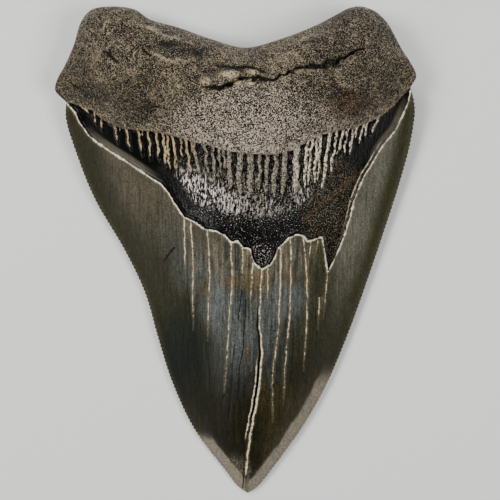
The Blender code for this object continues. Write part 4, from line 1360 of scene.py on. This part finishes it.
def pale_lines(g, place, marks):
    """How much of the enamel's edge, the cracks and the split's lips is pale, 0 to 1, how
    much of their surroundings is stained tan, and the beads along them."""
    y = g.node("ShaderNodeSeparateXYZ", {}, {0: place}).outputs[1]
    broken = g.noise(place, 1.1, 3.0, 0.7)
    beads = g.noise(g.scaled(place, 1.0, 0.6, 0.6), 2.4, 2.0, 0.6)
    wave = g.times(g.centred(broken), 0.9)
    slow = g.times(g.centred(g.noise(place, 0.35, 2.0, 0.6)), 0.8)
    uneven = g.plus(wave, slow)
    edge_gap = g.plus(g.size(g.minus(marks["enamel"], 0.18)), uneven)
    second = g.size(g.plus(marks["enamel"], 0.85))
    second = g.times(g.span(g.plus(second, wave), 0.22, 0.05), g.oval(place, 36, 20, 9, 18))
    edge = g.most(g.span(edge_gap, 0.26, 0.06), g.times(second, 0.8))
    split = marks["split"]
    right_lip = g.plus(g.size(g.minus(split, 0.42)), wave)
    right_lip = g.plus(right_lip, g.span(y, -24.0, -15.0, 0.0, 0.14))
    left_lip = g.plus(g.size(g.plus(split, 0.75)), wave)
    beside_left = g.times(g.span(y, -24.0, -30.0), g.span(y, -52.0, -47.0))
    left_lip = g.times(g.span(left_lip, 0.26, 0.06), beside_left)
    lips = g.most(g.span(right_lip, 0.34, 0.12), left_lip)
    lips = g.times(lips, g.span(y, -64.0, -61.0))
    crack = g.plus(marks["crack"], g.times(uneven, 0.6))
    on_enamel = g.span(marks["enamel"], 0.0, 0.15)
    lines = g.times(g.most(g.times(g.span(crack, 0.22, 0.02), 0.95), lips), on_enamel)
    nearest = g.least(crack, g.plus(right_lip, g.span(y, -60.0, -64.0)))
    nearest = g.least(nearest, edge_gap)
    halo = g.times(g.span(nearest, 0.85, 0.2), on_enamel, g.span(beads, 0.36, 0.6))
    pale = g.most(g.times(edge, marks["inner"]), lines)
    return pale, g.times(halo, marks["inner"]), beads


MARKS = ("bone", "enamel", "ridge", "crack", "hair", "split", "torn", "furrow", "notch", "rim", "inner")


def fossil_material():
    material = bpy.data.materials.new("fossil tooth")
    material.use_nodes = True
    tree = material.node_tree
    shader = tree.nodes["Principled BSDF"]
    g = Graph(tree)
    marks = {
        name: g.node("ShaderNodeAttribute", {"attribute_name": name}).outputs["Fac"]
        for name in MARKS
    }
    place = g.node("ShaderNodeTexCoord").outputs["Object"]
    place = g.scaled(place, 1 / MM, 1 / MM, 1 / MM)
    ways = g.node("ShaderNodeSeparateXYZ", {}, {0: place}).outputs
    parts = {"x": ways[0], "y": ways[1]}
    bone_colour, bone_rough, bone_bump = bone_finish(g, place, marks)
    band_colour, band_rough, band_bump = band_finish(g, place, marks, parts)
    enamel_colour, enamel_rough, enamel_bump = enamel_finish(g, place, marks, parts)

    wander = g.centred(g.noise(place, 1.2, 2.0))
    on_bone = g.span(g.plus(marks["bone"], wander), -0.15, 0.15)
    on_enamel = g.span(marks["enamel"], -0.05, 0.1)
    colour = g.blend(on_bone, band_colour, bone_colour)
    colour = g.blend(on_enamel, colour, enamel_colour)
    rough_value = g.lerp(on_bone, band_rough, bone_rough)
    rough_value = g.lerp(on_enamel, rough_value, enamel_rough)
    bump_height = g.lerp(on_bone, band_bump, bone_bump)
    bump_height = g.lerp(on_enamel, bump_height, enamel_bump)

    pale, halo, beads = pale_lines(g, place, marks)
    colour = g.blend(g.times(halo, 0.55), colour, HALO_TAN)
    cream = g.blend(g.span(marks["enamel"], 0.4, 1.2), CREAM, CRACK_CREAM)
    pale_colour = g.blend(g.span(beads, 0.32, 0.54), TAN, cream)
    pale_colour = g.blend(g.span(beads, 0.32, 0.26), pale_colour, BEAD_GAP)
    colour = g.blend(pale, colour, pale_colour)
    rough_value = g.lerp(pale, rough_value, 0.5)

    # Painted shade: the open split, and a thin line where it ends near the tip, are painted black.
    open_split = g.size(g.plus(marks["split"], 0.15))
    open_split = g.span(g.plus(open_split, g.span(parts["y"], -26.0, -14.0, 0.0, 0.16)), 0.4, 0.25)
    y = parts["y"]
    open_split = g.times(open_split, g.times(g.span(y, -8.0, -12.0), g.span(y, -47.0, -44.0)))
    tip_line = g.times(g.span(g.size(marks["split"]), 0.25, 0.1), g.span(y, -60.0, -62.0))
    dark = g.most(open_split, tip_line)
    colour = g.blend(dark, colour, BLACK)
    # Painted shade: the root's torn split is black, with crumbs of debris.
    crumbs = g.noise(place, 1.9, 2.0, 0.6)
    shade_and_debris = g.blend(g.span(crumbs, 0.5, 0.66), BLACK, SPLIT_DEBRIS)
    colour = g.blend(g.span(marks["torn"], 0.15, 0.5), colour, shade_and_debris)
    crumbs = g.times(g.ovals(place, CREAM_CRUMBS), g.span(crumbs, 0.42, 0.52))
    colour = g.blend(g.times(crumbs, on_bone), colour, CRUMB_CREAM)
    tree.links.new(colour, shader.inputs["Base Color"])
    tree.links.new(rough_value, shader.inputs["Roughness"])
    shader.inputs["Specular IOR Level"].default_value = SPECULAR_LEVEL
    bump = {"Strength": BUMP_STRENGTH, "Distance": BUMP_DISTANCE, "Height": bump_height}
    tree.links.new(g.node("ShaderNodeBump", {}, bump).outputs[0], shader.inputs["Normal"])
    return material


# ================================================================ floor, light and camera

CAMERA_AT = Vector((0.0039, 0.04555, 0.28611))
CAMERA_FORWARD = Vector((0, -0.1485, -0.9889))
CAMERA_UP = Vector((0, 0.9889, -0.1485))
CAMERA_LENS = 72.6
SENSOR_WIDTH = 36
FLOOR_REACH = 6.0
FLOOR_COLOUR = (0.86, 0.86, 0.84, 1)
FLOOR_ROUGHNESS = 0.7
STUDIO_LIGHT = 0.06
# Each light's name, place, width and length in metres, and power in watts.
LIGHTS = (
    ("soft box left", (-0.62, 0.2, 0.75), (0.4, 0.4), 6.6),
    ("soft box right", (0.62, -0.1, 0.8), (0.45, 0.45), 6),
    ("soft box behind the root", (-0.25, 0.72, 0.62), (0.4, 0.25), 3.6),
    ("soft box overhead", (0.0, -0.13, 0.9), (0.25, 0.15), 0.8),
    ("lamp left", (-0.46, -0.42, 0.42), (0.1, 0.1), 0.6),
)
LIT_POINT = Vector((0, 0, 0.01))


def add_floor():
    mesh = bpy.data.meshes.new("floor")
    corners = [(x * FLOOR_REACH, y * FLOOR_REACH, 0) for x, y in ((-1, -1), (1, -1), (1, 1), (-1, 1))]
    mesh.from_pydata(corners, [], [(0, 1, 2, 3)])
    floor = bpy.data.objects.new("floor", mesh)
    bpy.context.scene.collection.objects.link(floor)
    material = bpy.data.materials.new("pale floor")
    material.use_nodes = True
    shader = material.node_tree.nodes["Principled BSDF"]
    shader.inputs["Base Color"].default_value = FLOOR_COLOUR
    shader.inputs["Roughness"].default_value = FLOOR_ROUGHNESS
    mesh.materials.append(material)


def add_light(name, place, size, power):
    light = bpy.data.lights.new(name, "AREA")
    light.shape = "RECTANGLE"
    light.size, light.size_y = size
    light.energy = power
    lamp = bpy.data.objects.new(name, light)
    lamp.location = place
    lamp.rotation_euler = (LIT_POINT - Vector(place)).to_track_quat("-Z", "Y").to_euler()
    bpy.context.scene.collection.objects.link(lamp)


def add_lights():
    world = bpy.data.worlds.new("studio")
    world.use_nodes = True
    background = world.node_tree.nodes["Background"]
    background.inputs["Color"].default_value = (1, 1, 1, 1)
    background.inputs["Strength"].default_value = STUDIO_LIGHT
    bpy.context.scene.world = world
    for light in LIGHTS:
        add_light(*light)


def add_camera():
    data = bpy.data.cameras.new("camera")
    data.lens = CAMERA_LENS
    data.sensor_width = SENSOR_WIDTH
    camera = bpy.data.objects.new("camera", data)
    side = CAMERA_FORWARD.cross(CAMERA_UP).normalized()
    turn = Matrix((side, CAMERA_UP, -CAMERA_FORWARD)).transposed().to_4x4()
    camera.matrix_world = Matrix.Translation(CAMERA_AT) @ turn
    bpy.context.scene.collection.objects.link(camera)
    bpy.context.scene.camera = camera


# ================================================================ the scene

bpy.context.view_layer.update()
add_floor()
add_lights()
add_camera()
tooth = make_tooth()
weathered(tooth, fossil_material())
print("triangles", len(tooth.data.polygons))
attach(tooth, "root")
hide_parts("tooth")
